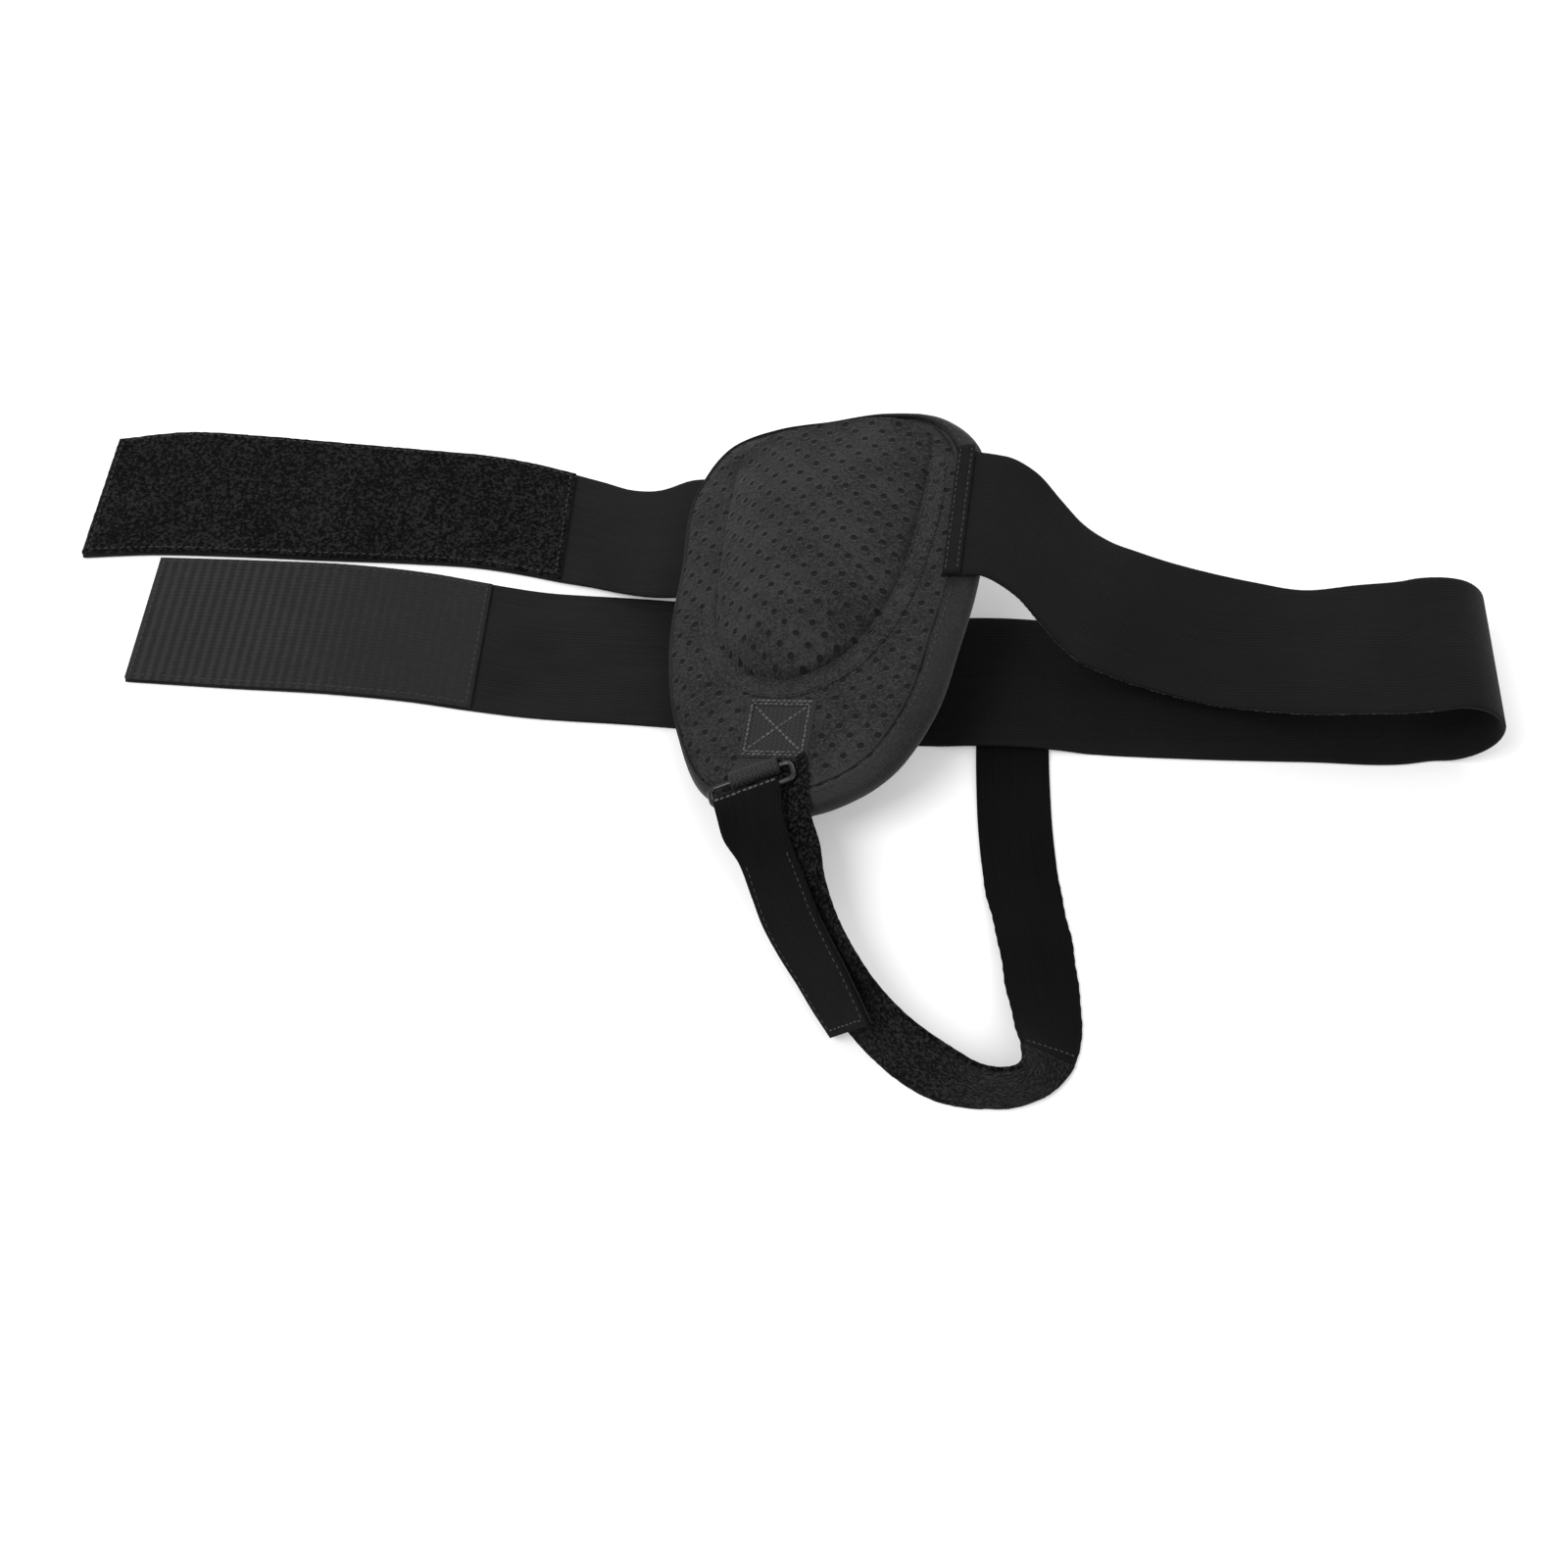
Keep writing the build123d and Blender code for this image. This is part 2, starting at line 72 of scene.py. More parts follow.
PAD_POINT = np.array([10.0, 65.0, 30.0])
PAD_ROLL = math.radians(14.0)
PAD_PITCH = math.radians(3.0)
PAD_SPIN = math.radians(-3.0)
PAD_BACK = -9.0
SHIELD_EDGE = [(-7, 88.3), (20, 89.8), (43, 84.5), (57, 71), (61.5, 45), (60.5, 12), (54.5, -20),
               (45.5, -53), (30.5, -76), (8, -88.5), (-16, -90.5), (-37, -81.5), (-51, -56), (-59.5, -20),
               (-59.5, 20), (-57, 60), (-44.5, 80), (-27.5, 86.5)]

# the pocket's sewn U, and the curved mouth that closes it at the top
POCKET_U = [(-40.5, 62), (-42, 40), (-42, 10), (-40, -10), (-30, -28), (-11, -35.5), (10, -27), (26, -5),
            (34, 22), (38, 48), (39.5, 68)]
MOUTH = [(39.5, 68), (37, 74), (32, 77), (18, 78.5), (-3, 77), (-22, 74.5), (-33, 71), (-39, 66.5), (-40.5, 62)]
INSERT_TOP = 71.0
POCKET_H = 12.5
FLANGE_W = 8.0

HEM_U = 52.5
HEM_V = 36.5
HEM_SPIN = math.radians(-3.0)
LAP_W = 0.8 + BAND_Z

RING_REACH = 7.0
RING_BAR = 31.6
RING_ROD = 1.2
RING_SPIN = math.radians(20.7)
RING_UPPER = np.array([-18.4, -77.8, 4.3])
FOLD_R = RING_ROD + BODY_GAP + LEG_T / 2
FOLD_W = 25.2
FOLD_MID = -2.8
LOOP_MID = 2.0
LOOP_W = 19.0

TAB_MID = np.array([-10.8, -56.8])
TAB_SIZE = (27.0, 25.0)
TAB_SPIN = math.radians(-3.5)

BACK_RUN = [(-69.7, 82.5, 22.5, BAND_Z), (0, 80.5, 20.5, BAND_Z), (60, 80, 20, BAND_Z),
            (70, 80, 20, BAND_Z + HUMP_RISE), (105, 80, 20, BAND_Z + HUMP_RISE),
            (115, 80, 20, BAND_Z), (150, 80, 20, BAND_Z), (200, 81.5, 21.5, BAND_Z), (238, 83, 23, BAND_Z)]
TURN_X = 248.2
TURN_R = 18.8
TURN_EDGES = (84, 25)
FRONT_RUN = [((238, 84, 37.2), (238, 24, 37.2)), ((232.6, 84.4, 34.3), (229.1, 23.9, 35)),
             ((216.9, 84.4, 30.5), (213.8, 24.6, 32)), ((197.3, 84.1, 26), (195.3, 26.0, 27.5)),
             ((179.9, 90.2, 21.5), (178.8, 30.6, 21)), ((163.7, 96.1, 18.5), (163.3, 35.0, 16)),
             ((147.2, 100.2, 19), (147.7, 39.8, 13.8)), ((134.3, 102.2, 22), (134.8, 42.2, 15.5)),
             ((121.6, 101.9, 28.5), (121.6, 43.5, 20.5)), ((110.5, 103.7, 36), (110.5, 45.0, 25.5)),
             ((101.3, 110.2, 42), (101.8, 49.6, 30)), ((92.4, 117.9, 47), (93.1, 56.4, 35.5)),
             ((82.9, 122.5, 50), (83.5, 63.1, 42))]
TAIL = [(-85, 82.6, 22.6, BAND_Z), (-100, 83, 23, BAND_Z), (-125, 86, 25, BAND_Z),
        (-148, 89.5, 27.5, BAND_Z), (-180, 92, 29.2, BAND_Z),
        (-220, 92, 29.5, BAND_Z), (-262, 91, 30.2, BAND_Z)]
CLOSING = [(-60, 135.5, 80.5, 5.2), (-72, 136.2, 83, 3.6), (-84, 140.5, 86, 2.4), (-97, 144.8, 88.5, 1.4),
           (-112, 149, 91.5, BAND_Z), (-130, 152.3, 93.8, BAND_Z), (-160, 154.3, 94.5, BAND_Z),
           (-195, 156, 94, BAND_Z), (-232, 157.8, 93.7, BAND_Z), (-268, 158, 92.5, BAND_Z),
           (-295, 152.5, 89.5, BAND_Z)]
LEG_RUN = [((101, 38, LEG_Z), (73, 38, LEG_Z)), ((101, 8, LEG_Z), (73, 8, LEG_Z)),
           ((102, -18, LEG_Z), (74, -18, 0.9)), ((104.5, -41, LEG_Z), (76.6, -42.5, 2.0)),
           ((108, -60, LEG_Z), (80.5, -62, 4.6)), ((110, -79, LEG_Z), (83.2, -82.5, 8)),
           ((110.5, -95, LEG_Z), (85.6, -98, 13.2))]
LEG_RISE = [((107, -108.5, LEG_Z), (87, -108.5, 20)), ((99, -117.5, LEG_Z), (86.5, -116, 25.6)),
            ((88, -122.8, LEG_Z), (82, -119.5, 27.6)), ((75, -124.3, LEG_Z), (73.3, -119.5, 28.2)),
            ((61, -123, LEG_Z), (61.5, -112.5, 26.6)), ((46, -115.5, 0.8), (47.5, -102, 25.5)),
            ((33, -104, 1.0), (37, -91, 25.5)), ((20.5, -89, 2.2), (29, -79.5, 26)),
            ((8, -70, 4.2), (21.8, -65.5, 26.2)), ((-3, -52, 8.5), (17, -50.5, 26.5)),
            ((-10.5, -37, 13.5), (14.6, -37, 26.5)), ((-14, -34, 16.8), (12, -29.5, 27.4))]
FLAP = [((-20.5, -34, 18.5), (1, -26.8, 29.6)), ((-13.8, -41.6, 12.4), (5.2, -39.2, 25)),
        ((-8.4, -52.5, 7.8), (10.2, -52, 26)), ((-3.6, -62.5, 4.2), (15.3, -65.2, 26.5)),
        ((2.8, -73, 3.0), (20.6, -76.2, 27)), ((9.6, -83, 2.6), (26.2, -87, 27)),
        ((16, -93, 2.4), (31.1, -97.4, 27.5)), ((22.7, -102.6, 2.2), (35.6, -106.8, 27))]


# ---- the shield's own frame
def unit(v):
    return v / np.linalg.norm(v)


def shield_axes():
    across = np.array([math.cos(PAD_ROLL), 0, math.sin(PAD_ROLL)])
    up = np.array([0, math.cos(PAD_PITCH), math.sin(PAD_PITCH)])
    up = unit(up - across * (up @ across))
    normal = np.cross(across, up)
    u_axis = across * math.cos(PAD_SPIN) + up * math.sin(PAD_SPIN)
    return u_axis, np.cross(normal, u_axis), normal


U_AXIS, V_AXIS, N_AXIS = shield_axes()


def on_shield(uvw):
    """Points given on the shield's face (u, v, height) as bench points."""
    uvw = np.asarray(uvw, float)
    return PAD_POINT + uvw[..., 0:1] * U_AXIS + uvw[..., 1:2] * V_AXIS + uvw[..., 2:3] * N_AXIS


def ring_place(along, reach, height):
    """A bench point given along the ring's upper bar, down from it, and over the shield."""
    bar = np.array([math.cos(RING_SPIN), math.sin(RING_SPIN)])
    down = np.array([math.sin(RING_SPIN), -math.cos(RING_SPIN)])
    return on_shield((*(RING_UPPER[:2] + bar * along + down * reach), height))


def ring_pair(reach, height):
    """Both edges of the leg strap's fold at one place by the ring."""
    return [ring_place(FOLD_MID + side * FOLD_W / 2, reach, height) for side in (-1, 1)]


def level_pairs(stations):
    return [((x, far, z), (x, near, z)) for x, far, near, z in stations]


# ---- curves
def spline(points, params, where):
    """Smooth curve through points (rows) at params, read at where."""
    points = np.asarray(points, float)
    slopes = np.gradient(points, params, axis=0)
    k = np.clip(np.searchsorted(params, where, side="right") - 1, 0, len(params) - 2)
    h = (params[k + 1] - params[k])[:, None]
    t = ((where - params[k])[:, None]) / h
    a = 2 * t**3 - 3 * t**2 + 1
    b = t**3 - 2 * t**2 + t
    c = -2 * t**3 + 3 * t**2
    d = t**3 - t**2
    return a * points[k] + b * h * slopes[k] + c * points[k + 1] + d * h * slopes[k + 1]


def run_lengths(points):
    steps = np.linalg.norm(np.diff(points, axis=0), axis=1)
    return np.concatenate([[0], np.cumsum(steps)])


def looped(points):
    return np.vstack([points, points[:1]])


def resample(points, length, at):
    return np.column_stack([np.interp(at, length, points[:, i]) for i in range(points.shape[1])])


def closed_curve(points, count):
    """count points, evenly spaced, on a smooth closed curve."""
    points = np.asarray(points, float)
    around = np.vstack([points[-3:], points, points[:4]])
    params = run_lengths(around)
    fine = spline(around, params, np.linspace(params[3], params[3 + len(points)], 1200))
    length = run_lengths(fine)
    return resample(fine, length, np.linspace(0, length[-1], count, endpoint=False))


def open_curve(points, step):
    """Points every step along a smooth open curve."""
    points = np.asarray(points, float)
    params = run_lengths(points)
    fine = spline(points, params, np.linspace(0, params[-1], 800))
    length = run_lengths(fine)
    return resample(fine, length, np.linspace(0, length[-1], max(int(length[-1] / step), 2) + 1))


def outward(curve, closed=True):
    """Unit normals of a flat curve, pointing out of it."""
    if closed:
        ahead = np.roll(curve, -1, axis=0) - np.roll(curve, 1, axis=0)
    else:
        ahead = np.gradient(curve, axis=0)
    normals = np.column_stack([-ahead[:, 1], ahead[:, 0]])
    normals /= np.linalg.norm(normals, axis=1)[:, None]
    middle = curve.mean(axis=0)
    if np.sum((curve - middle) * normals) < 0:
        normals = -normals
    return normals


def distance_to(points, line):
    """Distance of each flat point to a polyline."""
    a = line[:-1]
    b = line[1:]
    ab = b - a
    best = np.full(len(points), 1e9)
    for start, run in zip(a, ab):
        t = np.clip(((points - start) @ run) / max(run @ run, 1e-12), 0, 1)
        best = np.minimum(best, np.linalg.norm(points - start - t[:, None] * run, axis=1))
    return best


def ease(x):
    x = np.clip(x, 0, 1)
    return x * x * (3 - 2 * x)


def wander(points, size, seed):
    """Smooth noise from -1 to 1 at bench points, size in millimetres."""
    shift = Vector((seed * 7.3, seed * 3.1, seed * 5.7))
    return np.array([noise.noise(Vector(p) / size + shift) for p in points])


# ---- meshes
def set_uv(mesh, uv):
    """Gives each point of a mesh its UV, in metres."""
    layer = mesh.uv_layers.get("UVMap") or mesh.uv_layers.new(name="UVMap")
    loops = np.zeros(len(mesh.loops), np.int32)
    mesh.loops.foreach_get("vertex_index", loops)
    layer.data.foreach_set("uv", uv[loops].ravel())


def add_mesh(name, points, faces, uv=None):
    """A new piece from bench points; uv, one pair per point, is in millimetres."""
    points = np.array(points, float)
    points[:, 2] = np.maximum(points[:, 2], TABLE_CLEAR)
    mesh = bpy.data.meshes.new(name)
    mesh.from_pydata([tuple(p) for p in to_world(points)], [], [tuple(int(i) for i in f) for f in faces])
    if uv is not None:
        set_uv(mesh, uv * 0.001)
    mesh.validate()
    mesh.shade_smooth()
    obj = bpy.data.objects.new(name, mesh)
    bpy.context.scene.collection.objects.link(obj)
    return obj


def finish_piece(obj, material, body, slot, *nodes):
    obj.data.materials.clear()
    obj.data.materials.append(material)
    if nodes:
        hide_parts(*nodes)
    if body:
        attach(obj, body)


def apply_modifiers(obj):
    graph = bpy.context.evaluated_depsgraph_get()
    made = bpy.data.meshes.new_from_object(obj.evaluated_get(graph), depsgraph=graph)
    obj.modifiers.clear()
    obj.data = made
    made.shade_smooth()


def fix_normals(obj):
    work = bmesh.new()
    work.from_mesh(obj.data)
    bmesh.ops.recalc_face_normals(work, faces=work.faces)
    work.to_mesh(obj.data)
    work.free()
    return obj


def skin(rings, sides, closed=False):
    """Quads between rings of points; closed joins the last ring to the first."""
    faces = []
    for i in range(rings if closed else rings - 1):
        k = (i + 1) % rings
        for a in range(sides):
            b = (a + 1) % sides
            faces.append((i * sides + a, i * sides + b, k * sides + b, k * sides + a))
    return faces


def rod_faces(rings, sides):
    """The faces of a rod with both ends capped."""
    caps = [tuple(reversed(range(sides))), tuple((rings - 1) * sides + a for a in range(sides))]
    return skin(rings, sides) + caps


class Strap:
    """A flat strap through pairs of edge points, sampled finely."""

    def __init__(self, pairs, step):
        left = np.array([p[0] for p in pairs], float)
        right = np.array([p[1] for p in pairs], float)
        self.stations = run_lengths((left + right) / 2)
        count = max(int(self.stations[-1] / step), 4)
        self.where = np.linspace(0, self.stations[-1], count + 1)
        self.left = spline(left, self.stations, self.where)
        self.right = spline(right, self.stations, self.where)
        self.refresh()

    def refresh(self):
        middle = (self.left + self.right) / 2
        self.length = run_lengths(middle)
        across = self.right - self.left
        self.width = np.linalg.norm(across, axis=1)
        self.across = across / self.width[:, None]
        normal = np.cross(np.gradient(middle, axis=0), self.across)
        self.normal = normal / np.linalg.norm(normal, axis=1)[:, None]

    def face(self, toward, rows=slice(None)):
        """Turns the strap over if those rows look away from a direction."""
        if np.mean(self.normal[rows] @ toward) < 0:
            self.normal = -self.normal
        return self

    def cut(self, first, last=-1):
        """The stretch from one station to another, on the same surface."""
        step = self.where[1] - self.where[0]
        keep = (self.where > self.stations[first] - step) & (self.where < self.stations[last] + step)
        part = Strap.__new__(Strap)
        part.left = self.left[keep]
        part.right = self.right[keep]
        part.where = self.where[keep]
        part.stations = self.stations
        part.refresh()
        part.normal = self.normal[keep]
        return part

    def at(self, side, lift, rows=slice(None)):
        """Points at a distance side from the left edge, or from the right one if side
        is below zero, lifted along the normal."""
        if side < 0:
            side = (self.width[rows] + side)[..., None]
        return self.left[rows] + self.across[rows] * side + self.normal[rows] * lift

    def crossing(self, first, last, lift, row, count=12):
        """A stitch path straight across one row, on the side that lift points to."""
        path = np.array([self.at(side, lift, row) for side in np.linspace(first, last, count)])
        return path, np.tile(np.sign(lift) * self.normal[row], (count, 1))

    def mesh(self, name, thick, lift=0.0, inset=0.0, columns=16, ripple=None, edge=None):
        """A closed strap mesh with rounded edges. ripple(s, length) lifts the face,
        edge(length) moves both edges outwards; both in millimetres."""
        corner = min(0.7, thick / 2) / self.width.mean()
        inner = np.linspace(corner, 1 - corner, columns + 1)
        top_s = np.concatenate([[0, corner * 0.3], inner, [1 - corner * 0.3, 1]])
        top_h = np.concatenate([[0, 0.72], np.ones(columns + 1), [0.72, 0]])
        s = np.concatenate([top_s, top_s[-2:0:-1]])
        h = np.concatenate([top_h, -top_h[-2:0:-1]])
        grow = np.zeros(len(self.length)) if edge is None else edge(self.length)
        rows = []
        uv = []
        for i, length in enumerate(self.length):
            side = inset - grow[i] + s * (self.width[i] - 2 * inset + 2 * grow[i])
            height = lift + h * thick / 2 + (0.0 if ripple is None else ripple(s, length))
            rows.append(self.left[i] + np.outer(side, self.across[i]) + np.outer(height, self.normal[i]))
            turn = np.where(h >= 0, side, 2 * self.width[i] - side)
            uv.append(np.column_stack([turn, np.full(len(s), length)]))
        ring = len(s)
        faces = skin(len(rows), ring)
        for start, flip in ((0, True), ((len(rows) - 1) * ring, False)):
            for j in range(len(top_s) - 1):
                corners = (j, j + 1, (ring - j - 1) % ring, (ring - j) % ring)
                cap = list(dict.fromkeys(start + k for k in corners))
                if len(cap) > 2:
                    faces.append(cap[::-1] if flip else cap)
        return fix_normals(add_mesh(name, np.vstack(rows), faces, np.vstack(uv)))


def stitches(name, paths, pitch, share, radius, seed, sink):
    """Rows of single stitches. paths holds (points, normals) in bench millimetres; share
    is how much of the pitch a stitch fills, and sink how far its ends dip."""
    sides = 6
    flatness = 0.8
    rings = [(-0.5, 0.35), (-0.38, 0.9), (0, 1.0), (0.38, 0.9), (0.5, 0.35)]
    rod = rod_faces(len(rings), sides)
    half = pitch * share / 2
    chance = np.random.default_rng(seed)
    points = []
    faces = []
    for path, normals in paths:
        length = run_lengths(path)
        count = max(int(length[-1] / pitch), 1)
        for n in range(count):
            middle = (n + 0.5) * length[-1] / count + chance.uniform(-0.12, 0.12)
            start = resample(path, length, max(middle - half, 0))[0]
            end = resample(path, length, min(middle + half, length[-1]))[0]
            up = unit(resample(normals, length, middle)[0])
            along = unit(end - start)
            side = np.cross(up, along)
            centre = (start + end) / 2 + side * chance.uniform(-0.1, 0.1)
            size = np.linalg.norm(end - start)
            faces += [tuple(len(points) + i for i in f) for f in rod]
            for place, girth in rings:
                dip = -sink * radius * 2 * (2 * abs(place)) ** 2
                for angle in np.arange(sides) * 2 * math.pi / sides:
                    round_it = side * math.cos(angle) + up * math.sin(angle) * flatness
                    points.append(centre + along * place * size + up * dip + round_it * radius * girth)
    return add_mesh(name, np.array(points), faces)


def patch_grid(outline, spacing, insets):
    """Flat triangles that fill a closed outline: rows near its edge, then an even grid."""
    normals = outward(outline)
    low = outline.min(axis=0)
    high = outline.max(axis=0)
    grid = []
    for j, v in enumerate(np.arange(low[1], high[1], spacing * 0.866)):
        shift = spacing / 2 if j % 2 else 0
        grid += [(u, v) for u in np.arange(low[0] + shift, high[0], spacing)]
    grid = np.array([p for p in grid if is_inside(p, outline)])
    grid = grid[distance_to(grid, looped(outline)) > max(insets) + spacing * 0.5]
    flat = np.vstack([outline, *(outline - normals * inset for inset in insets), grid])
    edges = [(i, (i + 1) % len(outline)) for i in range(len(outline))]
    made = geometry.delaunay_2d_cdt([Vector(p) for p in flat], edges, [], 1, 1e-4)
    return np.array([tuple(p) for p in made[0]]), made[2]


def is_inside(point, polygon):
    x, y = point
    a = polygon
    b = np.roll(polygon, -1, axis=0)
    crosses = (a[:, 1] > y) != (b[:, 1] > y)
    with np.errstate(divide="ignore", invalid="ignore"):
        at = (b[:, 0] - a[:, 0]) * (y - a[:, 1]) / (b[:, 1] - a[:, 1]) + a[:, 0]
    return np.count_nonzero(crosses & (x < at)) % 2 == 1


def cushion(name, flat, faces, outline, front, back, middle=None):
    """A closed skin from a flat patch on the shield, with a front and a back height at each
    point. middle is a row of points half way down its wall. Also gives its rim's points."""
    count = len(flat)
    rim = np.argmin(np.linalg.norm(flat[:, None, :] - outline[None, :, :], axis=2), axis=0)
    rows = [rim, rim + count]
    points = [np.column_stack([flat, front]), np.column_stack([flat, back])]
    if middle is not None:
        rows.insert(1, np.arange(len(outline)) + 2 * count)
        points.append(middle)
    faces = list(faces) + [tuple(i + count for i in reversed(f)) for f in faces]
    for upper, lower in zip(rows, rows[1:]):
        for i in range(len(outline)):
            j = (i + 1) % len(outline)
            faces.append((upper[i], upper[j], lower[j], lower[i]))
    piece = fix_normals(add_mesh(name, on_shield(np.vstack(points)), faces))
    return piece, np.unique(np.concatenate(rows))


def puff(obj, pressure, cap, held):
    """Inflates a mesh with a short cloth simulation. Points move at most cap
    millimetres, and the points numbered in held are sewn down."""
    frames = 20
    stiffness = 18.0
    rest = np.array([v.co for v in obj.data.vertices])
    cloth = obj.modifiers.new("Cloth", "CLOTH")
    for key, value in (("quality", 6), ("mass", 0.25), ("tension_stiffness", stiffness),
                       ("compression_stiffness", stiffness), ("shear_stiffness", stiffness / 2),
                       ("bending_stiffness", 0.6), ("use_pressure", True), ("uniform_pressure_force", pressure)):
        setattr(cloth.settings, key, value)
    cloth.settings.effector_weights.gravity = 0
    cloth.collision_settings.use_collision = False
    group = obj.vertex_groups.new(name="sewn")
    group.add([int(i) for i in held], 1.0, "REPLACE")
    cloth.settings.vertex_group_mass = "sewn"
    cloth.point_cache.frame_start = 1
    cloth.point_cache.frame_end = frames
    scene = bpy.context.scene
    for number in range(1, frames + 1):
        scene.frame_set(number)
    graph = bpy.context.evaluated_depsgraph_get()
    shaped = np.array([v.co for v in obj.evaluated_get(graph).data.vertices])
    obj.modifiers.clear()
    scene.frame_set(1)
    move = shaped - rest
    scale = np.minimum(1.0, cap * 0.001 / np.maximum(np.linalg.norm(move, axis=1), 1e-9))
    obj.data.vertices.foreach_set("co", (rest + move * scale[:, None]).ravel())
    obj.data.update()
    obj.vertex_groups.clear()


def shield_uv(obj):
    """Gives a piece on the shield UVs that are its own place on the shield."""
    co = np.array([v.co for v in obj.data.vertices]) * 1000 + CENTRE - PAD_POINT
    set_uv(obj.data, np.column_stack([co @ U_AXIS, co @ V_AXIS]) * 0.001)


# ---- materials
def grey(level):
    return (level, level, level, 1)


class Shader:
    """Short calls for building one material's nodes."""

    def __init__(self, name):
        self.material = bpy.data.materials.new(name)
        self.material.use_nodes = True
        self.tree = self.material.node_tree
        self.surface = self.tree.nodes["Principled BSDF"]

    def node(self, kind, inputs=(), **settings):
        made = self.tree.nodes.new(kind)
        for key, value in settings.items():
            setattr(made, key, value)
        for key, value in dict(inputs).items():
            self.put(made.inputs[key], value)
        return made

    def put(self, socket, value):
        if isinstance(value, bpy.types.NodeSocket):
            self.tree.links.new(value, socket)
        else:
            socket.default_value = value

    def uv(self):
        return self.node("ShaderNodeUVMap", uv_map="UVMap").outputs["UV"]

    def place(self):
        return self.node("ShaderNodeTexCoord").outputs["Object"]

    def split(self, vector):
        return tuple(self.node("ShaderNodeSeparateXYZ", {0: vector}).outputs)[:2]

    def maths(self, operation, a, b=0.0, c=0.0):
        return self.node("ShaderNodeMath", {0: a, 1: b, 2: c}, operation=operation).outputs[0]

    def line(self, value, times, plus):
        return self.maths("MULTIPLY_ADD", value, times, plus)

    def total(self, *terms):
        """The sum of values that each come with a weight."""
        parts = [self.maths("MULTIPLY", value, weight) for value, weight in terms]
        whole = parts[0]
        for part in parts[1:]:
            whole = self.maths("ADD", whole, part)
        return whole

    def vector(self, operation, a, b=(0, 0, 0)):
        made = self.node("ShaderNodeVectorMath", {0: a, 1: b}, operation=operation)
        return made.outputs["Value" if operation in ("LENGTH", "DOT_PRODUCT") else "Vector"]

    def scaled(self, vector, sizes):
        return self.vector("MULTIPLY", vector, sizes)

    def noise(self, scale, detail, rough=0.55, vector=None):
        made = self.node("ShaderNodeTexNoise", {"Vector": vector or self.place(), "Scale": scale,
                                               "Detail": detail, "Roughness": rough})
        return made.outputs[0]

    def cells(self, vector, scale):
        return self.node("ShaderNodeTexVoronoi", {"Vector": vector, "Scale": scale}).outputs["Distance"]

    def wave(self, value, pitch):
        """0 to 1 and back every pitch metres."""
        turned = self.maths("MULTIPLY", value, 2 * math.pi / pitch)
        return self.line(self.maths("SINE", turned), 0.5, 0.5)

    def between(self, value, low, high):
        made = self.node("ShaderNodeMapRange", {"Value": value, "From Min": low, "From Max": high},
                         interpolation_type="SMOOTHSTEP")
        return made.outputs["Result"]

    def mix(self, factor, a, b):
        return self.node("ShaderNodeMix", data_type="RGBA", inputs={0: factor, 6: a, 7: b}).outputs[2]

    def tone(self, factor, dark, light):
        return self.mix(factor, grey(dark), grey(light))

    def finish(self, color, roughness, height, depth, strength, sheen, specular):
        bump = self.node("ShaderNodeBump", {"Height": height, "Distance": depth, "Strength": strength})
        for name, value in (("Base Color", color), ("Roughness", roughness), ("Normal", bump.outputs[0]),
                            ("Sheen Weight", sheen), ("Sheen Roughness", 0.45), ("Sheen Tint", (1, 1, 1, 1)),
                            ("Specular IOR Level", specular)):
            self.put(self.surface.inputs[name], value)
        return self.material


def elastic_material(name, dark, light, rib=1.25, specular=0.12):
    """Woven elastic: fine cords along the strap, crossed by picks of yarn."""
    s = Shader(name)
    cord_pitch = rib * 0.001
    pick_pitch = 0.00085
    across, along = s.split(s.uv())
    shift = s.maths("MULTIPLY", s.maths("ROUND", s.maths("DIVIDE", across, cord_pitch)), pick_pitch / 2)
    picks = s.wave(s.maths("ADD", along, shift), pick_pitch)
    weave = s.total((s.wave(across, cord_pitch), 0.6), (picks, 0.4))
    fuzz = s.noise(2600, 2)
    streak = s.noise(1.0, 2, vector=s.scaled(s.uv(), (900, 22, 1)))
    shade = s.total((weave, 0.35), (s.noise(28, 4), 0.45), (streak, 0.3))
    # painted shade: everything right of the middle is made up to 45 % darker, for the back run's shadow under the pad
    painted_shade = s.maths("MULTIPLY", s.between(s.split(s.place())[0], -0.06, 0.05), 0.45)
    shade = s.maths("MULTIPLY", s.between(shade, 0.25, 0.85), s.maths("SUBTRACT", 1.0, painted_shade))
    height = s.total((weave, 1), (fuzz, 0.35))
    return s.finish(s.tone(shade, dark, light), s.line(fuzz, 0.2, 0.68), height, 0.00022, 0.7, 0.02, specular)


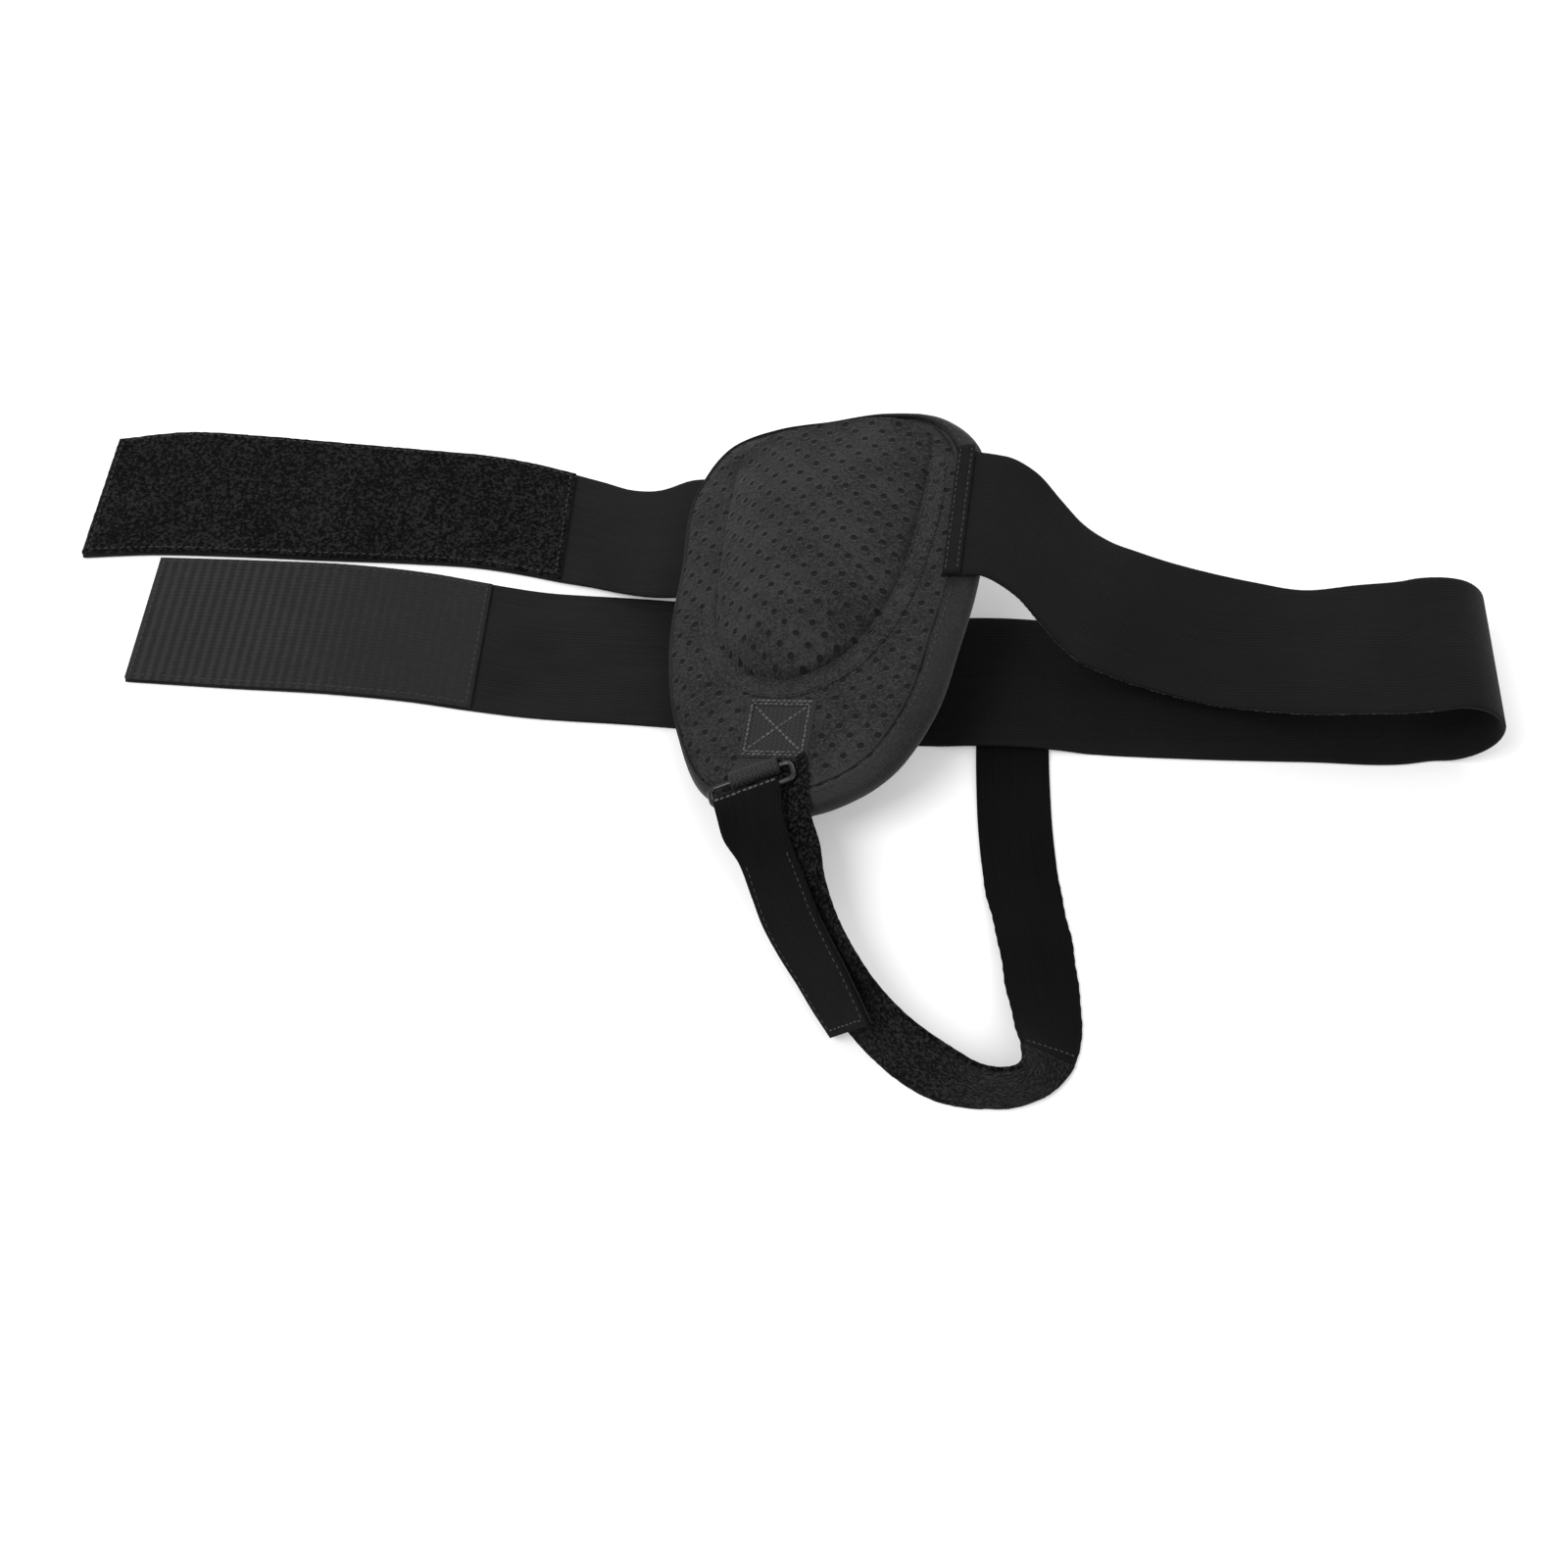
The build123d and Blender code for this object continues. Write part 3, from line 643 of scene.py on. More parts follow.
def mesh_material(name, dark, light, faint=False):
    """Spacer mesh: a fine knit with slanting rows of punched round holes."""
    s = Shader(name)
    first = np.array([4.3, -4.0]) * 0.001
    second = np.array([-6.1, -4.0]) * 0.001
    inverse = np.linalg.inv(np.column_stack([first, second]))
    drift = s.node("ShaderNodeTexNoise", {"Vector": s.place(), "Scale": 60.0}).outputs[1]
    uv = s.vector("ADD", s.uv(), s.scaled(drift, (0.0012, 0.0012, 0)))
    # how far away the nearest hole's middle is
    p, q = [s.maths("SUBTRACT", s.maths("FRACT", s.vector("DOT_PRODUCT", uv, (*row, 0))), 0.5) for row in inverse]
    x, y = [s.total((p, first[i]), (q, second[i])) for i in (0, 1)]
    away = s.vector("LENGTH", s.node("ShaderNodeCombineXYZ", {0: x, 1: y, 2: 0.0}).outputs[0])
    away = s.maths("ADD", away, s.line(s.noise(90, 2), 0.0005, -0.00025))
    solid = s.between(away, 0.00085, 0.00145)
    rim = s.maths("SUBTRACT", 1.0, s.between(away, 0.0013, 0.0027))
    knit = s.cells(s.scaled(s.uv(), (1.0, 1.25, 1)), 1050)
    fuzz = s.noise(3000, 2)
    shade = s.total((s.noise(45, 4), 0.4), (knit, 0.35), (s.noise(900, 2, 0.8), 0.45))
    cloth = s.tone(s.between(shade, 0.42, 0.75), dark, light)
    if faint:
        # two layers sewn together: the holes show as dimples, and only on the right
        u, v = s.split(s.uv())
        cover = s.between(s.total((u, -1.0), (v, -0.8)), -0.012, 0.014)
        solid = s.maths("MAXIMUM", s.maths("MAXIMUM", solid, cover), 0.35)
        rim = s.maths("MULTIPLY", rim, 0.4)
    height = s.total((solid, 2.2), (rim, 0.7), (knit, 0.5), (fuzz, 0.2))
    # the holes are near black: partly the black foam behind them, partly painted shade in their hollows
    color = s.mix(solid, grey(0.0008), cloth)
    return s.finish(color, s.line(fuzz, 0.25, 0.6), height, 0.0006, 0.85, 0.06, 0.2)


def knit_material(name, dark, light, scale=1500):
    """Fine smooth knit, as on bindings and linings."""
    s = Shader(name)
    knit = s.cells(s.place(), scale)
    fuzz = s.noise(2600, 3)
    shade = s.total((s.noise(40, 4), 0.45), (knit, 0.25), (s.noise(900, 2, 0.8), 0.4))
    color = s.tone(s.between(shade, 0.36, 0.7), dark, light)
    return s.finish(color, s.line(fuzz, 0.2, 0.58), s.total((knit, 1), (fuzz, 0.6)), 0.00012, 0.8, 0.12, 0.18)


def pile_material(name, dark, light):
    """Brushed loop pile: a dense, uneven nap."""
    s = Shader(name)
    shade = s.total((s.noise(780, 1, 0.6), 0.75), (s.noise(1900, 1, 0.6), 0.25))
    shade = s.maths("ADD", shade, s.line(s.noise(45, 2), 0.12, -0.06))
    return s.finish(s.tone(s.between(shade, 0.42, 0.68), dark, light), 0.9, shade, 0.0011, 1.0, 0.04, 0.05)


def hook_material(name, dark, light):
    """Hook tape: rows of tiny hooks on a woven ground."""
    s = Shader(name)
    across, along = s.split(s.uv())
    # the rows stand out at the free end and wear away along the tape
    worn = s.between(along, 0.035, 0.115)
    rows = s.maths("MULTIPLY", s.wave(along, 0.0040), s.line(worn, -0.8, 1.0))
    hooks = s.maths("MULTIPLY", s.wave(across, 0.0017), s.wave(along, 0.0013))
    speck = s.noise(520, 3, 0.7)
    shade = s.total((rows, 0.4), (hooks, 0.15), (s.noise(35, 4), 0.25), (speck, 0.55))
    height = s.total((rows, 0.8), (hooks, 0.5), (speck, 0.8))
    rough = s.line(s.noise(1500, 3), 0.25, 0.5)
    return s.finish(s.tone(s.between(shade, 0.4, 0.95), dark, light), rough, height, 0.0004, 0.8, 0.03, 0.25)


def webbing_material(name, dark, light):
    """Coarse flat webbing with a herringbone look."""
    s = Shader(name)
    across, along = s.split(s.uv())
    twill = s.wave(s.maths("ADD", along, s.maths("PINGPONG", across, 0.004)), 0.0016)
    weave = s.total((twill, 0.65), (s.wave(across, 0.0019), 0.35))
    fuzz = s.noise(2200, 3)
    color = s.tone(s.between(s.total((weave, 0.6), (fuzz, 0.4)), 0.2, 0.8), dark, light)
    return s.finish(color, s.line(fuzz, 0.25, 0.5), s.total((weave, 1), (fuzz, 0.3)), 0.0003, 0.8, 0.06, 0.25)


def thread_material(name, dark, light):
    s = Shader(name)
    twist = s.wave(s.maths("ADD", *s.split(s.place())), 0.0005)
    color = s.tone(s.between(s.noise(260, 3), 0.35, 0.65), dark, light)
    return s.finish(color, 0.55, twist, 0.00008, 0.7, 0.2, 0.35)


def plastic_material(name, level):
    s = Shader(name)
    scuff = s.noise(500, 5)
    color = s.tone(s.between(scuff, 0.45, 0.75), level, level * 1.8)
    return s.finish(color, s.line(s.noise(60, 3), 0.18, 0.2), scuff, 0.00006, 0.5, 0.0, 0.5)


def floor_material():
    s = Shader("floor_pale")
    s.surface.inputs["Emission Color"].default_value = (1, 1, 1, 1)
    s.surface.inputs["Emission Strength"].default_value = 0.22
    return s.finish(s.tone(s.noise(3.0, 3), 0.80, 0.84), 0.8, s.noise(300, 2), 0.0001, 0.1, 0.0, 0.1)


MESH = mesh_material("spacer_mesh", 0.003, 0.024)
LINING = knit_material("lining_knit", 0.006, 0.014)
BINDING = knit_material("binding_knit", 0.004, 0.017)
FLANGE = mesh_material("flange_mesh", 0.004, 0.026, faint=True)
INSERT = knit_material("insert_knit", 0.006, 0.014, scale=1200)
# both elastics carry the painted shade that darkens their right-hand parts
ELASTIC = elastic_material("waist_elastic", 0.002, 0.0115)
LEG_ELASTIC = elastic_material("leg_elastic", 0.001, 0.007, rib=1.1, specular=0.05)
PILE = pile_material("loop_pile", 0.0005, 0.017)
HOOKS = hook_material("hook_tape", 0.0015, 0.014)
WEBBING = webbing_material("tab_webbing", 0.003, 0.018)
THREAD = thread_material("sewing_thread", 0.004, 0.012)
PALE_THREAD = thread_material("pale_thread", 0.03, 0.08)
# pale yarn that paints the highlight along the front run's near edge
PAINTED_EDGE_HIGHLIGHT = thread_material("painted_edge_highlight_yarn", 0.02, 0.05)
PLASTIC = plastic_material("ring_plastic", 0.005)


def sew(name, rows, pitch, share, radius, seed, body, *nodes, sink=0.35, material=THREAD, slot="thread"):
    finish_piece(stitches(name, rows, pitch, share, radius, seed, sink), material, body, slot, *nodes)


# ---- shield body
def shield_outline(count=240, inset=0.0):
    curve = closed_curve(SHIELD_EDGE, count)
    return curve - outward(curve) * inset


def lip_width(curve):
    """How far the edge binding laps onto the front face at each outline point."""
    middle = curve - curve.mean(axis=0)
    angle = np.degrees(np.arctan2(middle[:, 1], middle[:, 0]))
    known = [-180, -150, -128, -112, -95, -60, -20, 30, 48, 58, 70, 90, 125, 160, 180]
    width = [0.0, 0.0, 0.5, 3.0, 7.0, 9.0, 9.6, 9.0, 8.0, 5.0, 2.5, 1.2, 0.4, 0.0, 0.0]
    return np.interp(angle, known, width)


def pocket_line(step=2.0, grow=0.0):
    curve = open_curve(POCKET_U, step)
    return curve + outward(curve, closed=False) * grow


def build_pad():
    outline = shield_outline(240, 0.5)
    flat, faces = patch_grid(outline, 3.2, (0.8, 1.8, 3.2, 5.2))
    depth = distance_to(flat, looped(outline))
    near_pocket = distance_to(flat, pocket_line(3.0, FLANGE_W))
    roll = -2.6 * (1 - ease(depth / 6.5)) ** 1.5
    swell = 0.7 * ease(depth / 12) * ease(near_pocket / 10)
    wave = wander(on_shield(np.column_stack([flat, np.zeros(len(flat))])), 16, 3) * 0.35 * ease(depth / 8)
    back = PAD_BACK + 3.2 * (1 - ease(depth / 11)) ** 1.5 - 0.2 * ease(depth / 10)
    middle = np.column_stack([outline + outward(outline) * 0.4, np.full(len(outline), -4.6)])
    pad, rim = cushion("shield_pad", flat, faces, outline, roll + swell + wave - 0.15, back, middle)
    puff(pad, 3.0, 0.7, rim)
    shield_uv(pad)
    finish_piece(pad, MESH, "belt", "spacer_mesh", "front_panel", "foam_core", "back_lining")
    # its back face is lining
    pad.data.materials.append(LINING)
    normal = Vector(N_AXIS)
    level = world_vector(PAD_POINT) + normal * 0.001 * (PAD_BACK + 2.0)
    for face in pad.data.polygons:
        face.material_index = 1 if (face.center - level).dot(normal) < 0 else 0


def build_binding():
    curve = shield_outline(300)
    normals = outward(curve)
    lips = lip_width(curve)
    # the section: the lip on the front face, then round the edge and under the back
    lip_part = [(1.0, -0.2), (1.0, 0.75), (0.93, 1.05), (0.75, 1.05), (0.5, 0.8), (0.25, 0.2)]
    back_part = [(-0.2, -2.6), (-0.4, -4.2), (-0.1, -5.8), (0.9, -6.9), (2.4, -7.7), (4.2, -8.5), (5.8, -8.9),
                 (6.1, -8.2), (4.0, -7.4), (1.4, -5.8), (1.0, -4.2)]
    points = []
    for point, normal, lip in zip(curve, normals, lips):
        share = min(lip / 3.0, 1.0)
        section = [(0.35 + max(lip - 0.35, 0) * reach, height * share - 2.6 * (1 - share))
                   for reach, height in lip_part]
        section += [(0.2, -share - 3.0 * (1 - share)), *back_part, (1.0 + 0.02 * lip, -2.4)]
        points += [(*(point - normal * inset), height) for inset, height in section]
    faces = skin(len(curve), len(section), closed=True)
    points = on_shield(points)
    points = points + N_AXIS * (wander(points, 9, 5) * 0.18)[:, None]
    binding = fix_normals(add_mesh("edge_binding_roll", points, faces))
    finish_piece(binding, BINDING, "belt", "binding_knit", "edge_binding")

    # a seam line beside the lip, and a row of stitches on it
    order = np.flatnonzero(lips > 4.0)
    jump = np.flatnonzero(np.diff(order) > 1)
    if len(jump):
        order = np.roll(order, -(jump[0] + 1))
    seam_ridge(curve[order] - normals[order] * (lips[order] + 1.7)[:, None])
    line = curve[order] - normals[order] * (lips[order] - 1.4)[:, None]
    path = on_shield(np.column_stack([line, np.full(len(line), 1.12)]))
    # the row stops where the waist band's end covers the lip
    covered = np.flatnonzero((np.abs(line[:, 1] - HEM_V) < 33) & (line[:, 0] > 40))
    rows = [(p, np.tile(N_AXIS, (len(p), 1))) for p in (path[:covered[0]], path[covered[-1] + 1:])]
    sew("edge_stitch_row", rows, 3.0, 0.7, 0.3, 4, "belt", "edge_stitching")


def seam_ridge(line):
    """A thin raised cord along a line on the shield's face, fading out at its ends."""
    sides = 8
    points = []
    for k, across in enumerate(outward(line, closed=False)):
        radius = 0.75 * max(min(1.0, k / 6, (len(line) - 1 - k) / 6), 0.15)
        for angle in np.arange(sides) * 2 * math.pi / sides:
            points.append((*(line[k] + across * math.cos(angle) * radius), 0.45 + math.sin(angle) * radius))
    ridge = fix_normals(add_mesh("binding_seam_ridge", on_shield(points), rod_faces(len(line), sides)))
    finish_piece(ridge, FLANGE, "belt", "binding_knit")


# ---- pocket and insert
def dome_height(depth):
    """A short step up from the seam, then a gentle dome."""
    step = 2.8
    wall = step * np.clip(depth / 1.8, 0, 1) ** 0.6
    return wall + (POCKET_H - step) * np.sin(math.pi / 2 * np.clip(depth / 25.0, 0, 1))


def build_pocket():
    line = pocket_line()
    mouth = open_curve(MOUTH, 2.0)
    flat, faces = patch_grid(np.vstack([line, mouth[1:-1]]), 2.6, (0.35, 0.9, 1.8, 3.2))
    depth = distance_to(flat, line)
    mouth_sag = 2.6 * ease((flat[:, 1] - 52) / 26) * ease(depth / 14)
    height = 0.1 + dome_height(depth) + 0.6 * ease((depth - 8) / 30) - mouth_sag
    where = on_shield(np.column_stack([flat, height]))
    height = height + wander(where, 22, 8) * 0.45 * ease(depth / 10) + wander(where, 8, 9) * 0.12 * ease(depth / 6)
    shell = fix_normals(add_mesh("pocket_dome", on_shield(np.column_stack([flat, height])), faces))
    up = Vector(N_AXIS)
    if sum(f.normal.dot(up) for f in shell.data.polygons) < 0:
        shell.data.flip_normals()
    puff(shell, 2.0, 0.8, np.flatnonzero((depth < 0.3) | (distance_to(flat, mouth) < 0.3)))
    solid = shell.modifiers.new("thick", "SOLIDIFY")
    solid.thickness = 0.0013
    solid.offset = -1
    apply_modifiers(shell)
    shield_uv(shell)
    finish_piece(shell, MESH, "belt", "spacer_mesh", "pocket_panel")

    # the sewn rim fades out along the left side, and stops short of the top on the right
    away = outward(line, closed=False)
    sewn = ~(((line[:, 0] < 0) & (line[:, 1] > 14)) | ((line[:, 0] > 0) & (line[:, 1] > 64)))
    line = line[sewn]
    pairs = []
    for point, out, full in zip(line, away[sewn], ease(np.arange(len(line)) / 14.0)):
        wide = 2.0 + (FLANGE_W - 2.0) * full * (0.45 + 0.55 * ease((74 - point[1]) / 30))
        pairs.append((on_shield((*(point + out * 0.2), 0.6)),
                      on_shield((*(point + out * wide), 0.6 - 0.35 * (1 - full)))))
    flange = Strap(pairs, 2.0).face(N_AXIS)

    def crown(s, length):
        return 0.35 * np.sin(math.pi * np.clip(s, 0, 1))

    band = flange.mesh("pocket_flange_band", 0.9, columns=8, ripple=crown)
    finish_piece(band, FLANGE, "belt", "binding_knit", "pocket_flange")
    shield_uv(band)
    rows = [(flange.at(side, 0.82)[6:-2], flange.normal[6:-2]) for side in (1.9, 6.3)]
    sew("pocket_stitch_rows", rows, 2.8, 0.7, 0.28, 6, "belt", "pocket_stitching")


def build_insert():
    line = pocket_line()
    line = line - outward(line, closed=False) * 3.2
    line = line[line[:, 1] < INSERT_TOP - 12]
    left = line[0][0]
    right = line[-1][0]
    corner_l = [(left + 8, INSERT_TOP - 2.5), (left + 2.5, INSERT_TOP - 7)]
    corner_r = [(right - 1.5, INSERT_TOP - 5), (right - 6, INSERT_TOP - 1)]
    across = [(u, INSERT_TOP) for u in np.linspace(right - 12, left + 16, 14)]
    outline = closed_curve(np.vstack([line, corner_r, across, corner_l]), 150)
    flat, faces = patch_grid(outline, 3.4, (0.7, 1.8, 3.4))
    depth = distance_to(flat, looped(outline))
    ceiling = dome_height(distance_to(flat, pocket_line())) - 2.9
    share = np.clip(depth / 12, 0, 1)
    plump = 2.2 + 6.0 * np.sqrt(share * (2 - share))
    height = np.maximum(np.minimum(plump, ceiling), 1.6)
    pad, rim = cushion("insert_pad", flat, faces, outline, height, 1.2 - 0.7 * ease(depth / 6))
    puff(pad, 2.5, 0.4, rim)
    smooth = pad.modifiers.new("smooth", "SUBSURF")
    smooth.levels = 1
    smooth.render_levels = 1
    apply_modifiers(pad)
    shield_uv(pad)
    finish_piece(pad, INSERT, "insert", "insert_cloth", "insert_cover", "insert_core")
    path = on_shield(looped(np.column_stack([outline, np.full(len(outline), 1.7)])))
    side = looped(outward(outline))
    normals = side[:, 0:1] * U_AXIS + side[:, 1:2] * V_AXIS
    sew("insert_seam_stitches", [(path, normals)], 3.2, 0.6, 0.22, 9, "insert", sink=0.2)


# ---- tab, ring and leg strap end
def tab_point(x, y, height):
    c = math.cos(TAB_SPIN)
    s = math.sin(TAB_SPIN)
    return on_shield((TAB_MID[0] + x * c - y * s, TAB_MID[1] + x * s + y * c, height))


def tab_row(a, b):
    """A straight stitch path on the tab."""
    path = np.array([tab_point(x, y, 2.3) for x, y in np.linspace(a, b, 12)])
    return path, np.tile(N_AXIS, (len(path), 1))


def build_tab():
    half_w = TAB_SIZE[0] / 2
    half_h = TAB_SIZE[1] / 2
    pairs = [(tab_point(-half_w, y, 1.1), tab_point(half_w, y, 1.1)) for y in np.linspace(-half_h, half_h, 7)]

    def quilted(s, length):
        edge = np.minimum(np.minimum(s, 1 - s) * TAB_SIZE[0], min(length, TAB_SIZE[1] - length))
        return -0.25 * (1 - ease(np.abs(edge - 2.4) / 1.6)) + 0.25 * ease(edge / 6)

    piece = Strap(pairs, 1.2).face(N_AXIS).mesh("webbing_tab_piece", 1.8, columns=24, ripple=quilted)
    finish_piece(piece, WEBBING, "belt", "webbing", "webbing_tab")

    x = half_w - 2.4
    y = half_h - 2.4
    corners = [(-x, -y), (x, -y), (x, y), (-x, y), (-x, -y)]
    rows = [tab_row(a, b) for a, b in zip(corners, corners[1:])]
    rows += [tab_row((-x + 1.2, -y + 1.2), (x - 1.2, y - 1.2)), tab_row((-x + 1.2, y - 1.2), (x - 1.2, -y + 1.2)),
             tab_row((-x - 1.0, y + 1.3), (x + 1.0, y + 1.3)), tab_row((-x - 1.0, -y - 1.2), (x + 1.0, -y - 1.2))]
    sew("tab_box_stitches", rows, 2.0, 0.85, 0.5, 11, "belt", "tab_stitching", sink=0.25, material=PALE_THREAD)

    # a loop of webbing from under the tab, round the ring's upper bar
    left = 0.5 - half_w
    right = LOOP_W - half_w
    pairs = [(tab_point(left, -half_h + 2, 0.8), tab_point(right, -half_h + 2, 0.8)),
             (tab_point(left, -half_h - 1.2, 1.5), tab_point(right, -half_h - 1.0, 1.5))]
    for reach, height in ((-3.9, 3.6), (-2.6, 5.4), (0, 6.6), (1.6, 6.0), (2.4, 4.4), (1.7, 2.7), (0.2, 1.95),
                          (-2.0, 1.6), (-3.2, 1.3)):
        pairs.append([ring_place(LOOP_MID + side * LOOP_W / 2, reach, height) for side in (-1, 1)])
    piece = Strap(pairs, 0.8).mesh("tab_loop_piece", 1.1)
    finish_piece(piece, WEBBING, "belt", "webbing", "tab_loop")


def build_ring():
    half = RING_BAR / 2
    middle = RING_REACH / 2
    rod = RING_ROD * 0.98
    corner = 2.2
    sides = 14
    path = []
    for right, up, start in ((1, 1, 0), (-1, 1, 90), (-1, -1, 180), (1, -1, 270)):
        for angle in np.radians(start + np.linspace(0, 90, 7)):
            path.append((right * (half - corner) + corner * math.cos(angle),
                         up * (middle - corner) + corner * math.sin(angle)))
    loop = looped(np.array(path))
    length = run_lengths(loop)
    path = resample(loop, length, np.arange(0, length[-1], 0.8))
    points = []
    for place, across in zip(path, outward(path)):
        for angle in np.arange(sides) * 2 * math.pi / sides:
            along, reach = place + across * rod * math.cos(angle)
            points.append(ring_place(along, middle - reach, RING_UPPER[2] + rod * math.sin(angle)))
    ring = fix_normals(add_mesh("strap_ring_rod", points, skin(len(path), sides, closed=True)))
    finish_piece(ring, PLASTIC, "ring", "ring_plastic", "strap_ring")


def build_leg_strap():
    lower = RING_UPPER[2] - FOLD_R
    upper = RING_UPPER[2] + FOLD_R
    start = RING_REACH + 4.8
    # by the ring the strap bunches up beyond the fold's inner end, flat on the shield
    bunch = [(ring_pair(start, lower)[0], ring_place(19.5, start - 2, lower)),
             (ring_pair(8.5, lower)[0], ring_place(21.5, 2, 1.9)),
             (ring_place(2, 5, 1.9), ring_place(22, -3.5, 1.8))]
    whole = Strap(LEG_RUN + LEG_RISE + bunch, 1.6).face(UP, slice(20))
    elastic = whole.cut(0, len(LEG_RUN))

    def scallops(length):
        rows = ease((length - 60) / 25)
        return rows * (0.14 * np.sin(length / 0.8) + 0.2 * np.sin(length / 3.1 + 1))

    piece = elastic.mesh("leg_strap_elastic", LEG_T, columns=14, edge=scallops)
    finish_piece(piece, LEG_ELASTIC, "belt", "leg_elastic", "leg_elastic_strap")

    fuzz = np.random.default_rng(5)
    piece = whole.cut(len(LEG_RUN)).mesh("leg_strap_pile", LEG_T + 0.5,
                                         ripple=lambda s, length: fuzz.uniform(-0.12, 0.12, len(s)))
    finish_piece(piece, PILE, None, "leg_pile", "leg_pile_strap")
    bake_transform(piece)

    rows = [elastic.crossing(2, 26, lift, -4) for lift in (LEG_T / 2, -LEG_T / 2)]
    sew("leg_seam_stitches", rows, 2.6, 0.75, 0.3, 12, "belt", "leg_seam_stitching")
    rows = []
    for y in (25, 30, 35):
        path = np.array([(x, y, BAND_T + HUMP_RISE) for x in np.linspace(75, 99, 10)])
        rows.append((path, np.tile(UP, (10, 1))))
    sew("leg_anchor_stitches", rows, 2.8, 0.75, 0.32, 13, "belt", "leg_anchor_stitching")

    # the end folded over the ring's lower bar and laid back on the pile
    fold = [ring_pair(RING_REACH + 4.3, lower)]
    for angle in np.radians([-90, -60, -30, 0, 30, 60, 90]):
        fold.append(ring_pair(RING_REACH - FOLD_R * math.cos(angle), RING_UPPER[2] + FOLD_R * math.sin(angle)))
    end = Strap(fold + [ring_pair(start, upper)] + FLAP, 0.9).face(UP, slice(-30, None))

    def rumple(s, length):
        return (1 - ease(length / 26)) * 0.3 * np.sin(s * 21 + 1) * np.sin(length * 0.5)

    piece = end.mesh("leg_flap_piece", LEG_T, columns=14, ripple=rumple)
    finish_piece(piece, LEG_ELASTIC, None, "leg_elastic", "leg_strap_fold", "leg_flap")
    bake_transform(piece)

    hooks = end.cut(len(fold) + 2)
    piece = hooks.mesh("leg_hook_piece", 1.0, -(LEG_T + 1.0) / 2, 1.0, 12)
    finish_piece(piece, HOOKS, "flap", "hook_tape", "leg_hook_tape")
    rows = [(hooks.at(side, LEG_T / 2)[2:-3], hooks.normal[2:-3]) for side in (2.6, -2.6)]
    rows.append(hooks.crossing(3, hooks.width[-4] - 3, LEG_T / 2, -4))
    sew("leg_flap_stitches", rows, 2.7, 0.7, 0.26, 14, "flap", "leg_flap_stitching")

    # the stitched seam on the fold, in pale thread that also paints the fold's highlight as a pale lumpy line
    row = end.cut(5, 9).crossing(0.6, FOLD_W - 0.6, LEG_T / 2, 3, 24)
    sew("leg_fold_stitches_and_highlight", [row], 2.1, 0.85, 0.5, 15, "ring", sink=0.25, material=PALE_THREAD)


# ---- waist band and closing strap
def turn_pairs():
    pairs = []
    for angle in np.radians(np.linspace(-90, 90, 9)):
        x = TURN_X + TURN_R * math.cos(angle)
        z = BAND_Z + TURN_R + TURN_R * math.sin(angle)
        pairs.append([(x, y, z) for y in TURN_EDGES])
    return pairs


def hem_pair(u, drop=0.0):
    lean = math.tan(-HEM_SPIN) * BAND_W / 2
    return (on_shield((u + lean, HEM_V + BAND_W / 2 - drop, LAP_W)),
            on_shield((u - lean, HEM_V - BAND_W / 2, LAP_W)))


def border(strap, inset, lift):
    """Stitch paths just inside all four edges of a patch."""
    rows = [(strap.at(side, lift)[1:-1], strap.normal[1:-1]) for side in (inset, -inset)]
    for i in (1, len(strap.left) - 2):
        rows.append(strap.crossing(inset, strap.width[i] - inset, lift, i, 20))
    return rows


def build_waist_band():
    tail = level_pairs(TAIL)
    back = level_pairs(BACK_RUN)
    turn = turn_pairs()
    end = [hem_pair(63, 4), hem_pair(56, 2), hem_pair(51.5)]
    band = Strap(tail[::-1] + back + turn + FRONT_RUN + end, 2.0).face(UP, slice(5, 6))
    piece = band.mesh("waist_band", BAND_T, columns=24)
    finish_piece(piece, ELASTIC, None, "waist_elastic",
                 "waist_back_run", "waist_turn", "waist_front_run", "tail_strap")
    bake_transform(piece)

    # a pale yarn along the near edge of the front run: a painted highlight where that edge catches the light
    front = band.cut(len(tail) + len(back) + len(turn), -4)
    rows = [(front.at(-0.5, BAND_T / 2 - 0.05), front.normal)]
    sew("front_edge_painted_highlight", rows, 2.2, 0.97, 0.3, 19, "belt", sink=0.1, material=PAINTED_EDGE_HIGHLIGHT, slot="waist_elastic")

    # the band's folded end, rolled and sewn down on the shield
    lean = math.tan(-HEM_SPIN)
    pairs = []
    for v in np.linspace(-BAND_W / 2, BAND_W / 2, 9):
        pairs.append([on_shield((HEM_U + side + lean * v, HEM_V + v, LAP_W + BAND_Z + 0.75)) for side in (-3.5, 3.5)])
    hem = Strap(pairs, 1.5).face(N_AXIS)

    def rolled(s, length):
        return 0.7 * np.sin(math.pi * np.clip(s, 0, 1)) ** 0.8 + 0.1 * math.sin(length * 0.9)

    piece = hem.mesh("band_hem_roll", 1.6, columns=10, ripple=rolled)
    finish_piece(piece, ELASTIC, "belt", "waist_elastic", "band_hem")
    rows = [(hem.at(side, 1.25)[1:-1], hem.normal[1:-1]) for side in (1.3, 5.7)]
    sew("hem_stitch_rows", rows, 2.6, 0.72, 0.3, 16, "belt", "hem_stitching")

    tape = band.cut(0, len(tail) - 3)

    def ribbed(s, length):
        far_end = 1 - ease((length - 40) / 70)
        return (0.10 + 0.16 * far_end) * math.sin(2 * math.pi * length / 4.0) * np.ones(len(s))

    piece = tape.mesh("hook_patch_tape", 1.2, (BAND_T + 1.2) / 2, 0.6, 20, ribbed)
    finish_piece(piece, HOOKS, "tail", "hook_tape", "hook_patch")
    rows = border(tape, 2.6, BAND_T / 2 + 1.25)
    sew("hook_patch_stitches", rows, 3.0, 0.72, 0.28, 17, "tail", "hook_patch_stitching")


